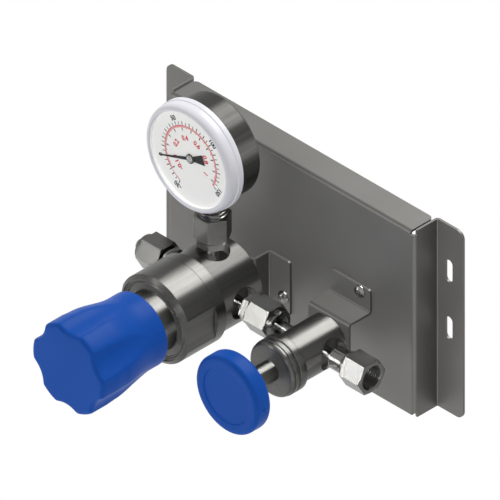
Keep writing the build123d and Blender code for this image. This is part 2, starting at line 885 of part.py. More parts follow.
# Knob: a deep moulded cap that runs down over the bonnet's neck
knob_inner = knob_front - knob_roof
with BuildPart() as knob:
    with BuildSketch(lengthwise(regulator_axis, forward)) as knob_section:
        with BuildLine():
            rim = Line((knob_back, 0), (knob_back, knob_rim_radius))
            waist = Line(rim @ 1, (knob_back + knob_waist, knob_rim_radius))
            flare = Bezier(
                waist @ 1,
                (knob_back + (knob_waist + knob_shoulder) / 2, knob_rim_radius),
                (knob_back + (knob_waist + knob_shoulder) / 2, knob_shoulder_radius),
                (knob_back + knob_shoulder, knob_shoulder_radius),
            )
            shoulder = Line(flare @ 1, (knob_back + knob_full, knob_radius))
            grip = Line(shoulder @ 1, (knob_front, knob_radius))
            face = Line(grip @ 1, (knob_front, 0))
            Line(face @ 1, rim @ 0)
        make_face()
    revolve(axis=Axis(regulator_axis, forward))
    # Finger flutes, which run out towards the waist
    cutter_offset = flute_floor_radius + flute_cutter_radius
    for index in range(flute_count):
        angle = math.radians(flute_first_angle + index * 360 / flute_count)
        centre = regulator_axis + (rightward * math.cos(angle) + upward * math.sin(angle)) * cutter_offset
        run_out = knob_back + flute_run_out
        turn(
            centre,
            forward,
            [
                (run_out - flute_taper, 0),
                (run_out - flute_taper, flute_cutter_radius + flute_dip),
                (run_out, flute_cutter_radius),
                (knob_front + over_run, flute_cutter_radius),
                (knob_front + over_run, 0),
            ],
            Mode.SUBTRACT,
        )
    fillet(
        knob.edges().filter_by(lambda e: abs(e.center().Y + knob_front) < near),
        knob_round,
    )
    knob_bore = neck_radius + knob_bore_gap
    bar(regulator_axis, forward, knob_back - over_run, knob_inner, knob_bore, Mode.SUBTRACT)
    bar(regulator_axis, forward, knob_inner - knob_boss_length, knob_inner + over_run, knob_boss_radius)
    bar(regulator_axis, forward, knob_back - over_run, screw_end, adjust_radius, Mode.SUBTRACT)
finish(knob.part, "knob")


def male_gland(direction):
    # A tube welded into the port's floor, with a beaded head that faces the gasket
    tube(regulator_port, direction, port_floor - tube_socket, head_start, tube_radius, tube_bore_radius)
    tube(regulator_port, direction, head_start, gasket_start, head_radius, tube_bore_radius)


for direction, name in (
    (leftward, "regulator_inlet_gland"),
    (rightward, "regulator_outlet_gland"),
    (upward, "regulator_gauge_gland"),
):
    with BuildPart() as gland:
        male_gland(direction)
    finish(gland.part, name)

# Short male nuts, one on each gland, screwed into the female nuts
with BuildPart() as male_nuts:
    for direction in (leftward, rightward, upward):
        with BuildPart(mode=Mode.PRIVATE) as male_nut:
            hexagon(regulator_port, direction, male_nut_start, male_hex_length, male_nut_flats)
            clip_corners(
                regulator_port, direction, male_nut_start, male_nut_start + male_hex_length,
                male_nut_flats, mouth=body_edge / 2,
            )
            bar(
                regulator_port, direction, male_nut_start + male_hex_length, male_thread_end,
                male_thread_radius,
            )
            bar(
                regulator_port, direction, male_nut_start - over_run, male_thread_end + over_run,
                tube_radius + running_gap, Mode.SUBTRACT,
            )
        add(male_nut.part)
finish(male_nuts.part, "male_nuts")

# Gaskets between the beaded heads
with BuildPart() as face_gaskets:
    for direction in (leftward, rightward, upward):
        tube(regulator_port, direction, gasket_start, female_head_start, gasket_radius, tube_bore_radius)
finish(face_gaskets.part, "face_gaskets")


def female_nut(origin, direction, start):
    # Long nut: its mouth is at start and its closed end points along the direction
    end = start + female_nut_length
    hexagon(origin, direction, start, female_nut_length, female_nut_flats)
    clip_corners(
        origin, direction, start, end, female_nut_flats,
        mouth=female_nut_mouth, shoulder=female_nut_chamfer, shoulder_radius=female_nut_end_radius,
    )
    pocket_end = end - female_nut_wall
    thread_end = pocket_end - nut_pocket_length
    mouth = start - over_run
    bar(origin, direction, mouth, thread_end, male_thread_radius + thread_gap, Mode.SUBTRACT)
    bar(origin, direction, mouth, pocket_end, nut_pocket_radius, Mode.SUBTRACT)
    bar(origin, direction, mouth, end + over_run, tube_radius + running_gap, Mode.SUBTRACT)


for direction, name in ((leftward, "inlet_nut"), (rightward, "link_nut"), (upward, "gauge_nut")):
    with BuildPart() as nut:
        female_nut(regulator_port, direction, female_nut_start)
    finish(nut.part, name)

# The outlet's nut is open to the right, for whatever is piped on
outlet_mouth = valve_outlet_nut_start + female_nut_length
with BuildPart() as outlet_nut:
    female_nut(valve_port + rightward * outlet_mouth, leftward, 0.0)
finish(outlet_nut.part, "outlet_nut")

# Glands held by the female nuts
inlet_end = female_nut_end + inlet_stub
with BuildPart() as inlet_weld_gland:
    tube(regulator_port, leftward, female_head_start, female_head_end, head_radius, tube_bore_radius)
    tube(regulator_port, leftward, female_head_end, inlet_end, tube_radius, tube_bore_radius)
finish(inlet_weld_gland.part, "inlet_weld_gland")

with BuildPart() as valve_inlet_gland:
    tube(regulator_port, rightward, female_head_start, female_head_end, head_radius, tube_bore_radius)
    tube(
        regulator_port, rightward, female_head_end, valve_pitch - valve_port_floor + tube_socket,
        tube_radius, tube_bore_radius,
    )
finish(valve_inlet_gland.part, "valve_inlet_gland")

outlet_head_start = valve_outlet_nut_start + female_nut_wall
outlet_face = outlet_head_start + head_length
bead_middle = (head_radius + tube_bore_radius) / 2
with BuildPart() as valve_outlet_gland:
    tube(
        valve_port, rightward, valve_port_floor - tube_socket, outlet_head_start,
        tube_radius, tube_bore_radius,
    )
    tube(
        valve_port, rightward, outlet_collar_start, valve_outlet_nut_start - running_gap,
        outlet_collar_radius, tube_radius,
    )
    tube(valve_port, rightward, outlet_head_start, outlet_face, head_radius, tube_bore_radius)
    tube(
        valve_port, rightward, outlet_face, outlet_face + bead_height,
        bead_middle + bead_width, bead_middle - bead_width,
    )
finish(valve_outlet_gland.part, "valve_outlet_gland")

# Valve body with its two ports
with BuildPart() as valve_body:
    turn(
        valve_axis,
        forward,
        [
            (valve_back, 0),
            (valve_back, valve_radius - body_edge),
            (valve_back + body_edge, valve_radius),
            (valve_shoulder, valve_radius),
            (valve_shoulder, valve_spigot_radius),
            (valve_diaphragm_back, valve_spigot_radius),
            (valve_diaphragm_back, 0),
        ],
    )
    chamber = valve_diaphragm_back - valve_chamber_floor
    bar(
        valve_axis, forward, chamber, valve_diaphragm_back + over_run,
        valve_chamber_radius, Mode.SUBTRACT,
    )
    bar(
        valve_axis, forward, chamber - valve_seat_sink, chamber + over_run,
        valve_seat_radius + thread_gap, Mode.SUBTRACT,
    )
    bar(
        valve_axis, forward, port_depth - valve_passage_radius, chamber,
        valve_passage_radius, Mode.SUBTRACT,
    )
    for direction in (leftward, rightward):
        with Locations(facing(valve_port, direction, valve_radius + sheet)):
            Hole(port_bore_radius, depth=valve_radius + sheet - valve_port_floor)
        bar(
            valve_port, direction, valve_port_floor - tube_socket, valve_port_floor + over_run,
            tube_radius + weld_gap, Mode.SUBTRACT,
        )
    bar(valve_port, leftward, 0, valve_port_floor, valve_passage_radius - drill_margin, Mode.SUBTRACT)
    bar(
        valve_port, rightward, valve_return_offset, valve_port_floor,
        valve_return_radius - drill_margin, Mode.SUBTRACT,
    )
    riser = valve_axis + rightward * valve_return_offset
    bar(
        riser, forward, port_depth - valve_return_radius, valve_diaphragm_back, valve_return_radius,
        Mode.SUBTRACT,
    )
    for side in (-1, 1):
        place = valve_axis + upward * side * valve_screw_pitch / 2
        bar(
            place, forward, valve_back - over_run, valve_back + body_screw_reach + screw_tail,
            screw_radius + thread_gap, Mode.SUBTRACT,
        )
finish(valve_body.part, "valve_body")

with BuildPart() as valve_seat:
    tube(
        valve_axis, forward, chamber - valve_seat_sink, valve_diaphragm_back - valve_lift,
        valve_seat_radius, valve_passage_radius,
    )
finish(valve_seat.part, "valve_seat")

with BuildPart() as valve_diaphragm:
    bar(
        valve_axis, forward, valve_diaphragm_back, valve_bonnet_back,
        valve_spigot_radius - bonnet_flange_gap,
    )
finish(valve_diaphragm.part, "valve_diaphragm")

# Bonnet nut of the valve, with a groove round it and a rounded front edge
with BuildPart() as valve_bonnet_nut:
    with BuildSketch(lengthwise(valve_axis, forward)) as nut_section:
        with BuildLine():
            back = valve_shoulder
            groove = valve_shoulder + valve_nut_groove
            Polyline(
                (back, valve_spigot_radius + thread_gap),
                (back, valve_nut_radius),
                (groove, valve_nut_radius),
                (groove, valve_nut_radius - valve_nut_groove_depth),
                (groove + valve_nut_groove_width, valve_nut_radius - valve_nut_groove_depth),
                (groove + valve_nut_groove_width, valve_nut_radius),
                (valve_nut_front, valve_nut_radius),
                (valve_nut_front, valve_neck_radius + running_gap),
                (valve_nut_front - valve_nut_wall, valve_neck_radius + running_gap),
                (valve_nut_front - valve_nut_wall, valve_spigot_radius + thread_gap),
                close=True,
            )
        make_face()
        front_corner = nut_section.vertices().sort_by(Axis.X)[-2:].sort_by(Axis.Y)[-1]
        fillet(front_corner, valve_nut_edge)
    revolve(axis=Axis(valve_axis, forward))
finish(valve_bonnet_nut.part, "valve_bonnet_nut")

with BuildPart() as valve_bonnet:
    turn(
        valve_axis,
        forward,
        [
            (valve_bonnet_back, stem_radius + running_gap),
            (valve_bonnet_back, valve_spigot_radius - bonnet_flange_gap),
            (valve_nut_front - valve_nut_wall, valve_spigot_radius - bonnet_flange_gap),
            (valve_nut_front - valve_nut_wall, valve_neck_radius),
            (valve_nut_front, valve_neck_radius),
            (valve_nut_front, stem_radius + running_gap),
        ],
    )
finish(valve_bonnet.part, "valve_bonnet")

with BuildPart() as valve_button:
    bar(valve_axis, forward, valve_bonnet_back, stem_back, button_radius)
    button_rim = valve_button.edges().filter_by(GeomType.CIRCLE).sort_by(Axis.Y)[-1]
    fillet(button_rim, button_edge)
finish(valve_button.part, "valve_button")

with BuildPart() as valve_stem:
    bar(valve_axis, forward, stem_back, stem_front, stem_radius)
finish(valve_stem.part, "valve_stem")

# Handwheel: a round moulded disc with a shallow recess in its face
set_screw_axis = valve_axis + forward * (wheel_back + set_screw_rise)
with BuildPart() as handwheel:
    bar(valve_axis, forward, wheel_back, wheel_front, wheel_radius)
    fillet(handwheel.edges().filter_by(GeomType.CIRCLE), wheel_edge)
    bar(
        valve_axis, forward, wheel_front - wheel_recess, wheel_front + over_run,
        wheel_recess_radius, Mode.SUBTRACT,
    )
    tube(
        valve_axis, forward, wheel_back - over_run, wheel_back + wheel_back_recess,
        wheel_back_radius, wheel_hub_radius, Mode.SUBTRACT,
    )
    bar(valve_axis, forward, wheel_back - over_run, stem_front, stem_radius, Mode.SUBTRACT)
    bar(
        set_screw_axis, rightward, stem_radius / 2, wheel_radius + over_run,
        set_screw_radius, Mode.SUBTRACT,
    )
finish(handwheel.part, "handwheel")

with BuildPart() as handwheel_set_screw:
    bar(
        set_screw_axis, rightward, stem_radius + running_gap, stem_radius + set_screw_length,
        set_screw_radius,
    )
finish(handwheel_set_screw.part, "handwheel_set_screw")


def bourdon_loop(gap, further, mode=Mode.ADD):
    # The flat tube's C, from its tip round to its root and a little further
    with BuildSketch(lengthwise(gauge_axis, forward)) as flat_section:
        with Locations((tube_middle, bourdon_radius)):
            Rectangle(bourdon_width + 2 * gap, bourdon_thickness + 2 * gap)
    loop_axis = Axis(gauge_axis, forward)
    at_tip = flat_section.sketch.rotate(loop_axis, bourdon_tip_angle - 90)
    revolve(at_tip, axis=loop_axis, revolution_arc=bourdon_sweep + further, mode=mode)


# Gauge socket: gland for the lower joint, wrench hexagon and the block that holds the movement
socket_start = female_nut_end + running_gap
case_bottom = gauge_z - axis_z - case_radius
block_bottom = case_bottom + socket_block_rise
block_top = gauge_z - axis_z - socket_block_top
with BuildPart() as gauge_socket:
    bar(regulator_port, upward, female_head_start, female_head_end, head_radius)
    bar(regulator_port, upward, female_head_end, case_bottom, tube_radius)
    hexagon(regulator_port, upward, socket_start, case_bottom - socket_start - thread_gap, socket_flats)
    bar(regulator_port, upward, case_bottom - over_run, block_bottom + over_run, socket_neck_radius)
    with BuildSketch(facing(regulator_port, upward, block_bottom)) as block_section:
        with Locations((0, port_depth - (socket_block_start + socket_block_end) / 2)):
            Rectangle(socket_block_width, socket_block_end - socket_block_start)
    extrude(block_section.sketch, amount=block_top - block_bottom)
    bar(
        regulator_port, upward, female_head_start - over_run, block_top - socket_bore_stop,
        passage_radius / 2, Mode.SUBTRACT,
    )
    bourdon_loop(weld_gap, bourdon_seat_angle, Mode.SUBTRACT)
finish(gauge_socket.part, "gauge_socket")

with BuildPart() as gauge_case:
    with BuildSketch(lengthwise(gauge_axis, forward)) as case_section:
        with BuildLine():
            Polyline(
                (case_back, 0),
                (case_back, case_radius),
                (case_front, case_radius),
                (case_front, case_radius - case_wall),
                (case_back + case_wall, case_radius - case_wall),
                (case_back + case_wall, 0),
                close=True,
            )
        make_face()
        back_corner = [v for v in case_section.vertices() if v.X < case_back + near and v.Y > near]
        fillet(back_corner, case_round)
        inner_corner = [
            v for v in case_section.vertices()
            if abs(v.X - case_back - case_wall) < near and v.Y > near
        ]
        fillet(inner_corner, case_round - case_wall)
    revolve(axis=Axis(gauge_axis, forward))
    bar(
        regulator_port, upward, case_bottom - over_run, block_bottom,
        socket_neck_radius + socket_hole_gap, Mode.SUBTRACT,
    )
    plug_axis = gauge_axis + upward * plug_rise
    bar(
        plug_axis, forward, case_back - over_run, case_back + case_wall + over_run,
        plug_neck_radius, Mode.SUBTRACT,
    )
finish(gauge_case.part, "gauge_case")

with BuildPart() as blowout_plug:
    bar(plug_axis, forward, case_back - plug_height, case_back, plug_radius)
    bar(
        plug_axis, forward, case_back - plug_height, case_back + case_wall,
        plug_neck_radius - running_gap,
    )
finish(blowout_plug.part, "blowout_plug")

with BuildPart() as dial:
    tube(gauge_axis, forward, case_front, dial_front, case_radius, dial_hole_radius)
finish(dial.part, "dial")

with BuildPart() as window_gasket:
    tube(gauge_axis, forward, dial_front, window_back, case_radius, case_radius - gasket_width)
finish(window_gasket.part, "window_gasket")

with BuildPart() as window:
    bar(gauge_axis, forward, window_back, window_front, case_radius)
finish(window.part, "window")

# Bezel ring: a rounded crown outside and a thin lip over the window
with BuildPart() as bezel:
    with BuildSketch(lengthwise(gauge_axis, forward)) as bezel_section:
        with BuildLine():
            outside = Polyline(
                (window_front, case_radius + bezel_gap),
                (bezel_back, case_radius + bezel_gap),
                (bezel_back, bezel_radius),
                (bezel_ring_front, bezel_radius),
                (bezel_ring_front, bezel_rim_radius),
                (bezel_crown_back, bezel_rim_radius),
            )
            crown_middle = 1 - math.sqrt(0.5)
            crown = ThreePointArc(
                outside @ 1,
                (
                    bezel_front - bezel_crown_depth * crown_middle,
                    bezel_rim_radius - bezel_crown_width * crown_middle,
                ),
                (bezel_front, bezel_rim_radius - bezel_crown_width),
            )
            Polyline(
                crown @ 1,
                (bezel_front, bezel_opening + bezel_lip_bevel),
                (window_front, bezel_opening),
                outside @ 0,
            )
        make_face()
    revolve(axis=Axis(gauge_axis, forward))
finish(bezel.part, "bezel")


def polar(angle, radius, centre=(0.0, 0.0)):
    # A point in the gauge's front view
    turned = math.radians(angle)
    return (centre[0] + radius * math.cos(turned), centre[1] + radius * math.sin(turned))


# Bourdon tube: a flat C-shaped tube from the socket round to its free tip, with a lug for the link
tip_point = polar(bourdon_tip_angle, bourdon_radius)
tip_axis = gauge_axis + rightward * tip_point[0] + upward * tip_point[1]
with BuildPart() as bourdon_tube:
    bourdon_loop(0.0, 0.0)
    bar(tip_axis, forward, tube_middle, link_start - link_gap, tip_lug_radius)
    bar(tip_axis, forward, tube_middle, pin_end, link_pin_radius)
finish(bourdon_tube.part, "bourdon_tube")

sector_pivot = polar(sector_direction, gear_distance)
pinion_radius = gear_module * pinion_teeth / 2
sector_radius = gear_module * sector_wheel_teeth / 2
addendum = gear_module * gear_addendum


def tooth_half_angle(radius, pitch_radius):
    # Half the angle that a tooth takes up at a radius, from the involute
    base_radius = pitch_radius * math.cos(math.radians(pressure_angle))
    at_pitch = math.radians(pressure_angle)
    at_radius = math.acos(min(1.0, base_radius / radius))
    thickness = math.pi * gear_module / 2 - gear_backlash / 2
    half = thickness / (2 * pitch_radius)
    return math.degrees(half + math.tan(at_pitch) - at_pitch - math.tan(at_radius) + at_radius)


def gear_tooth(centre, angle, pitch_radius):
    # One tooth: involute flanks drawn as arcs, radial below the base circle
    root = pitch_radius - addendum - gear_root_gap
    flank = max(root, pitch_radius * math.cos(math.radians(pressure_angle)))
    middle = (flank + pitch_radius + addendum) / 2
    tip = pitch_radius + addendum
    sides = []
    for side in (-1, 1):
        sides.append([
            polar(angle + side * tooth_half_angle(radius, pitch_radius), radius, centre)
            for radius in (flank, middle, tip)
        ])
    inner = [
        polar(angle + side * tooth_half_angle(flank, pitch_radius), root - gear_root_gap, centre)
        for side in (-1, 1)
    ]
    with BuildLine() as outline:
        Line(inner[0], sides[0][0])
        ThreePointArc(*sides[0])
        Line(sides[0][2], sides[1][2])
        ThreePointArc(*sides[1])
        Line(sides[1][0], inner[1])
        Line(inner[1], inner[0])
    make_face(outline.edges())


# Pinion shaft: carries the pointer and is driven by the sector
with BuildPart() as pinion_shaft:
    bar(gauge_axis, forward, socket_block_end, dial_front + pointer_lift + pointer_hub_height, arbor_radius)
    with BuildSketch(facing(gauge_axis, forward, pinion_start)) as pinion_section:
        Circle(pinion_radius - addendum - gear_root_gap)
        for index in range(pinion_teeth):
            gear_tooth((0.0, 0.0), sector_direction + index * 360 / pinion_teeth, pinion_radius)
    extrude(pinion_section.sketch, amount=pinion_length)
finish(pinion_shaft.part, "pinion_shaft")

# Sector gear: a toothed rim on two arms, with a tail that the link pulls
tooth_step = 360 / sector_wheel_teeth
last_tooth = sector_direction + 180 + teeth_past_rest * tooth_step
first_tooth = last_tooth - (sector_teeth - 1) * tooth_step
sector_root = sector_radius - addendum - gear_root_gap
tail_point = polar(sector_tail_angle, sector_tail, sector_pivot)
sector_axis = gauge_axis + rightward * sector_pivot[0] + upward * sector_pivot[1]
tail_axis = gauge_axis + rightward * tail_point[0] + upward * tail_point[1]
with BuildPart() as sector_gear:
    with BuildSketch(facing(gauge_axis, forward, sector_start)) as sector_section:
        start_angle = first_tooth - tooth_step
        end_angle = last_tooth + tooth_step
        with BuildLine():
            low_arm = Line(sector_pivot, polar(start_angle, sector_root, sector_pivot))
            rim_arc = ThreePointArc(
                low_arm @ 1,
                polar((start_angle + end_angle) / 2, sector_root, sector_pivot),
                polar(end_angle, sector_root, sector_pivot),
            )
            Line(rim_arc @ 1, sector_pivot)
        make_face()
        arm_angle = math.degrees(2 * sector_arm / sector_root)
        window_radius = sector_root - sector_rim
        with BuildLine():
            low_edge = Line(
                polar((start_angle + end_angle) / 2, sector_hub_radius + sector_arm, sector_pivot),
                polar(start_angle + arm_angle, window_radius, sector_pivot),
            )
            window_arc = ThreePointArc(
                low_edge @ 1,
                polar((start_angle + end_angle) / 2, window_radius, sector_pivot),
                polar(end_angle - arm_angle, window_radius, sector_pivot),
            )
            Line(window_arc @ 1, low_edge @ 0)
        make_face(mode=Mode.SUBTRACT)
        with Locations(sector_pivot):
            Circle(sector_hub_radius)
        with Locations(tail_point):
            Circle(link_radius)
        with Locations(polar(sector_tail_angle, sector_tail / 2, sector_pivot)):
            Rectangle(sector_tail, 2 * sector_arm, rotation=sector_tail_angle)
        for index in range(sector_teeth):
            gear_tooth(sector_pivot, first_tooth + index * tooth_step, sector_radius)
    extrude(sector_section.sketch, amount=sector_thickness)
    bar(sector_axis, forward, socket_block_end, movement_front + plate_sheet, sector_arbor_radius)
    bar(tail_axis, forward, sector_start, pin_end, link_pin_radius)
finish(sector_gear.part, "sector_gear")

# Link from the sector's tail to the tube's tip
with BuildPart() as sector_link:
    reach = math.dist(tail_point, tip_point)
    lean = math.degrees(math.atan2(tip_point[1] - tail_point[1], tip_point[0] - tail_point[0]))
    middle = ((tail_point[0] + tip_point[0]) / 2, (tail_point[1] + tip_point[1]) / 2)
    with BuildSketch(facing(gauge_axis, forward, link_start)) as link_section:
        with Locations(middle):
            SlotCenterToCenter(reach, 2 * link_radius, rotation=lean)
        with Locations(tail_point, tip_point):
            Circle(link_pin_radius + running_gap, mode=Mode.SUBTRACT)
    extrude(link_section.sketch, amount=link_thickness)
finish(sector_link.part, "sector_link")

# Movement frame: two plates on three pillars, seated on the socket's block
with BuildPart() as movement_plates:
    for depth in (socket_block_end, movement_front):
        with BuildSketch(facing(gauge_axis, forward, depth)) as plate_section:
            with Locations((0, (plate_top - plate_bottom) / 2)):
                RectangleRounded(plate_width, plate_top + plate_bottom, plate_width / 4)
            Circle(arbor_radius + running_gap, mode=Mode.SUBTRACT)
            with Locations(sector_pivot):
                Circle(sector_arbor_radius + running_gap, mode=Mode.SUBTRACT)
        extrude(plate_section.sketch, amount=plate_sheet)
    for place in ((0, pillar_top), (-pillar_side, -pillar_bottom), (pillar_side, -pillar_bottom)):
        pillar_axis = gauge_axis + rightward * place[0] + upward * place[1]
        bar(pillar_axis, forward, socket_block_end, movement_front + plate_sheet / 2, pillar_radius)
finish(movement_plates.part, "movement_plates")

# Pointer: a long tapered arm, a flared tail and a round hub
with BuildPart() as pointer:
    with BuildSketch(facing(gauge_axis, forward, dial_front + pointer_lift)) as pointer_section:
        ahead = pointer_rest_angle
        behind = pointer_rest_angle + 180
        tip = polar(ahead, pointer_length)
        tail = polar(behind, pointer_tail)
        with BuildLine():
            Polyline(
                polar(ahead + 90, pointer_tip_width / 2, tip),
                polar(ahead + 90, pointer_root_width / 2),
                polar(ahead + 90, pointer_tail_width / 2, tail),
                polar(ahead - 90, pointer_tail_width / 2, tail),
                polar(ahead - 90, pointer_root_width / 2),
                polar(ahead - 90, pointer_tip_width / 2, tip),
                close=True,
            )
        make_face()
        Circle(pointer_hub_radius)
        Circle(arbor_radius, mode=Mode.SUBTRACT)
    extrude(pointer_section.sketch, amount=pointer_thickness)
    tube(
        gauge_axis, forward, dial_front + pointer_lift, dial_front + pointer_lift + pointer_hub_height,
        pointer_hub_radius, arbor_radius,
    )
finish(pointer.part, "pointer")
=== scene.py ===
# Gas regulator panel, dressed for the studio: materials, fine parts, lamps and camera.
# Y runs into the wall, Z is up, and the user stands on the -Y side. The scene is in metres,
# and the settings of the pieces are in mm and degrees.

import json
import math

import bmesh
import bpy
from mathutils import Matrix, Vector


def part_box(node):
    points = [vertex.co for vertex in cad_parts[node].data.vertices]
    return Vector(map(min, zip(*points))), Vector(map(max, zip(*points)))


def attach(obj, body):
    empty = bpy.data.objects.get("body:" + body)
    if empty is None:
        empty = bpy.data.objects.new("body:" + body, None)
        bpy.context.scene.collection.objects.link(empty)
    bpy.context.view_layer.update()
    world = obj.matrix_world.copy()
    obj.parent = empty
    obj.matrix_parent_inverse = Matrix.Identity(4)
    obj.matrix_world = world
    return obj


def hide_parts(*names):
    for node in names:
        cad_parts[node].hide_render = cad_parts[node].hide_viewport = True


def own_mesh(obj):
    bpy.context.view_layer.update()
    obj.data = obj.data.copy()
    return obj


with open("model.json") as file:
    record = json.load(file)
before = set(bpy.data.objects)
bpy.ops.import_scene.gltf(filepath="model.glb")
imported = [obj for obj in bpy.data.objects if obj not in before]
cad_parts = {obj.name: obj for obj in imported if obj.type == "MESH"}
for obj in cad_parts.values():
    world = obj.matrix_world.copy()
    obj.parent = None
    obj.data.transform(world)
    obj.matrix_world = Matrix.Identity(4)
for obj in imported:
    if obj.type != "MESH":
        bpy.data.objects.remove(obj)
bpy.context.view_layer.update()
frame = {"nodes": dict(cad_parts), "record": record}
mm = 0.001
print("frame loaded:", len(frame["nodes"]), "nodes")

outward = Vector((0, -1, 0))  # towards the user
rightward = Vector((1, 0, 0))
leftward = Vector((-1, 0, 0))
upward = Vector((0, 0, 1))


def middle(node):
    low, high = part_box(node)
    return (Vector(low) + Vector(high)) / 2


regulatorAxis = Vector((middle("bonnet").x, 0, middle("bonnet").z))
valveAxis = Vector((middle("valve_stem").x, 0, middle("valve_stem").z))
gaugeAxis = Vector((middle("dial").x, 0, middle("dial").z))
portY = middle("link_nut").y


# Materials

def newMaterial(name, colour, roughness, metallic=1.0):
    material = bpy.data.materials.new(name)
    material.use_nodes = True
    shader = material.node_tree.nodes["Principled BSDF"]
    shader.inputs["Base Color"].default_value = (*colour, 1)
    shader.inputs["Roughness"].default_value = roughness
    shader.inputs["Metallic"].default_value = metallic
    return material, material.node_tree, shader


def objectNoise(tree, scale, detail=3.0, stretch=(1, 1, 1)):
    # A noise in the object's own coordinates, with its grain drawn out along an axis
    coordinates = tree.nodes.new("ShaderNodeTexCoord")
    mapping = tree.nodes.new("ShaderNodeMapping")
    mapping.inputs["Scale"].default_value = stretch
    noise = tree.nodes.new("ShaderNodeTexNoise")
    noise.inputs["Scale"].default_value = scale
    noise.inputs["Detail"].default_value = detail
    tree.links.new(coordinates.outputs["Object"], mapping.inputs["Vector"])
    tree.links.new(mapping.outputs["Vector"], noise.inputs["Vector"])
    return noise.outputs["Fac"]


def spread(tree, source, low, high, start=0.3, end=0.7):
    # Maps a noise onto a range of values
    remap = tree.nodes.new("ShaderNodeMapRange")
    remap.inputs["From Min"].default_value = start
    remap.inputs["From Max"].default_value = end
    remap.inputs["To Min"].default_value = low
    remap.inputs["To Max"].default_value = high
    tree.links.new(source, remap.inputs["Value"])
    return remap.outputs["Result"]


def twoTone(tree, source, first, second, start=0.3, end=0.7):
    ramp = tree.nodes.new("ShaderNodeValToRGB")
    ramp.color_ramp.elements[0].position = start
    ramp.color_ramp.elements[0].color = (*first, 1)
    ramp.color_ramp.elements[1].position = end
    ramp.color_ramp.elements[1].color = (*second, 1)
    tree.links.new(source, ramp.inputs["Fac"])
    return ramp.outputs["Color"]


def addBump(tree, shader, source, strength, distance):
    bump = tree.nodes.new("ShaderNodeBump")
    bump.inputs["Strength"].default_value = strength
    bump.inputs["Distance"].default_value = distance
    tree.links.new(source, bump.inputs["Height"])
    tree.links.new(bump.outputs["Normal"], shader.inputs["Normal"])


def blastedSheet():
    # Satin grey sheet: a fine blasted grain with faint handling clouds
    material, tree, shader = newMaterial("blasted_sheet", (0.125, 0.123, 0.117), 0.33)
    clouds = objectNoise(tree, scale=22)
    grain = objectNoise(tree, scale=2600, detail=2)
    tree.links.new(
        twoTone(tree, clouds, (0.118, 0.116, 0.11), (0.133, 0.131, 0.125)), shader.inputs["Base Color"]
    )
    tree.links.new(spread(tree, grain, low=0.46, high=0.52), shader.inputs["Roughness"])
    addBump(tree, shader, grain, strength=0.12, distance=0.00004)
    return material


def turnedSteel(name, dark=(0.068, 0.067, 0.063), light=(0.084, 0.083, 0.079), roughness=0.34):
    # Lathe-turned steel: fine tool marks round the Y axis draw the lights out along it
    material, tree, shader = newMaterial(name, light, roughness)
    shader.inputs["Anisotropic"].default_value = 0.8
    shader.inputs["Anisotropic Rotation"].default_value = 0.25
    around = tree.nodes.new("ShaderNodeTangent")
    around.direction_type = "RADIAL"
    around.axis = "Y"
    tree.links.new(around.outputs["Tangent"], shader.inputs["Tangent"])
    streaks = objectNoise(tree, scale=420, detail=2, stretch=(1, 0.04, 1))
    tree.links.new(twoTone(tree, streaks, dark, light), shader.inputs["Base Color"])
    return material


def polishedSteel(name, dark, light, roughness):
    material, tree, shader = newMaterial(name, light, roughness)
    clouds = objectNoise(tree, scale=180)
    smears = objectNoise(tree, scale=900, detail=2, stretch=(1, 1, 0.2))
    tree.links.new(twoTone(tree, clouds, dark, light), shader.inputs["Base Color"])
    handled = spread(tree, smears, low=roughness * 0.95, high=roughness * 1.05)
    tree.links.new(handled, shader.inputs["Roughness"])
    return material


def mouldedPlastic(name, dark, light, roughness, grainDepth, specular=0.3):
    material, tree, shader = newMaterial(name, light, roughness, metallic=0.0)
    shader.inputs["Specular IOR Level"].default_value = specular
    clouds = objectNoise(tree, scale=35)
    grain = objectNoise(tree, scale=1500, detail=2)
    tree.links.new(twoTone(tree, clouds, dark, light), shader.inputs["Base Color"])
    handled = spread(tree, grain, low=roughness - 0.05, high=roughness + 0.06)
    tree.links.new(handled, shader.inputs["Roughness"])
    addBump(tree, shader, grain, strength=0.15, distance=grainDepth)
    return material


def clearWindow():
    material, _, shader = newMaterial("clear_window", (0.95, 0.97, 1.0), roughness=0.04, metallic=0.0)
    shader.inputs["Alpha"].default_value = 0.02
    shader.inputs["Specular IOR Level"].default_value = 0.02
    return material


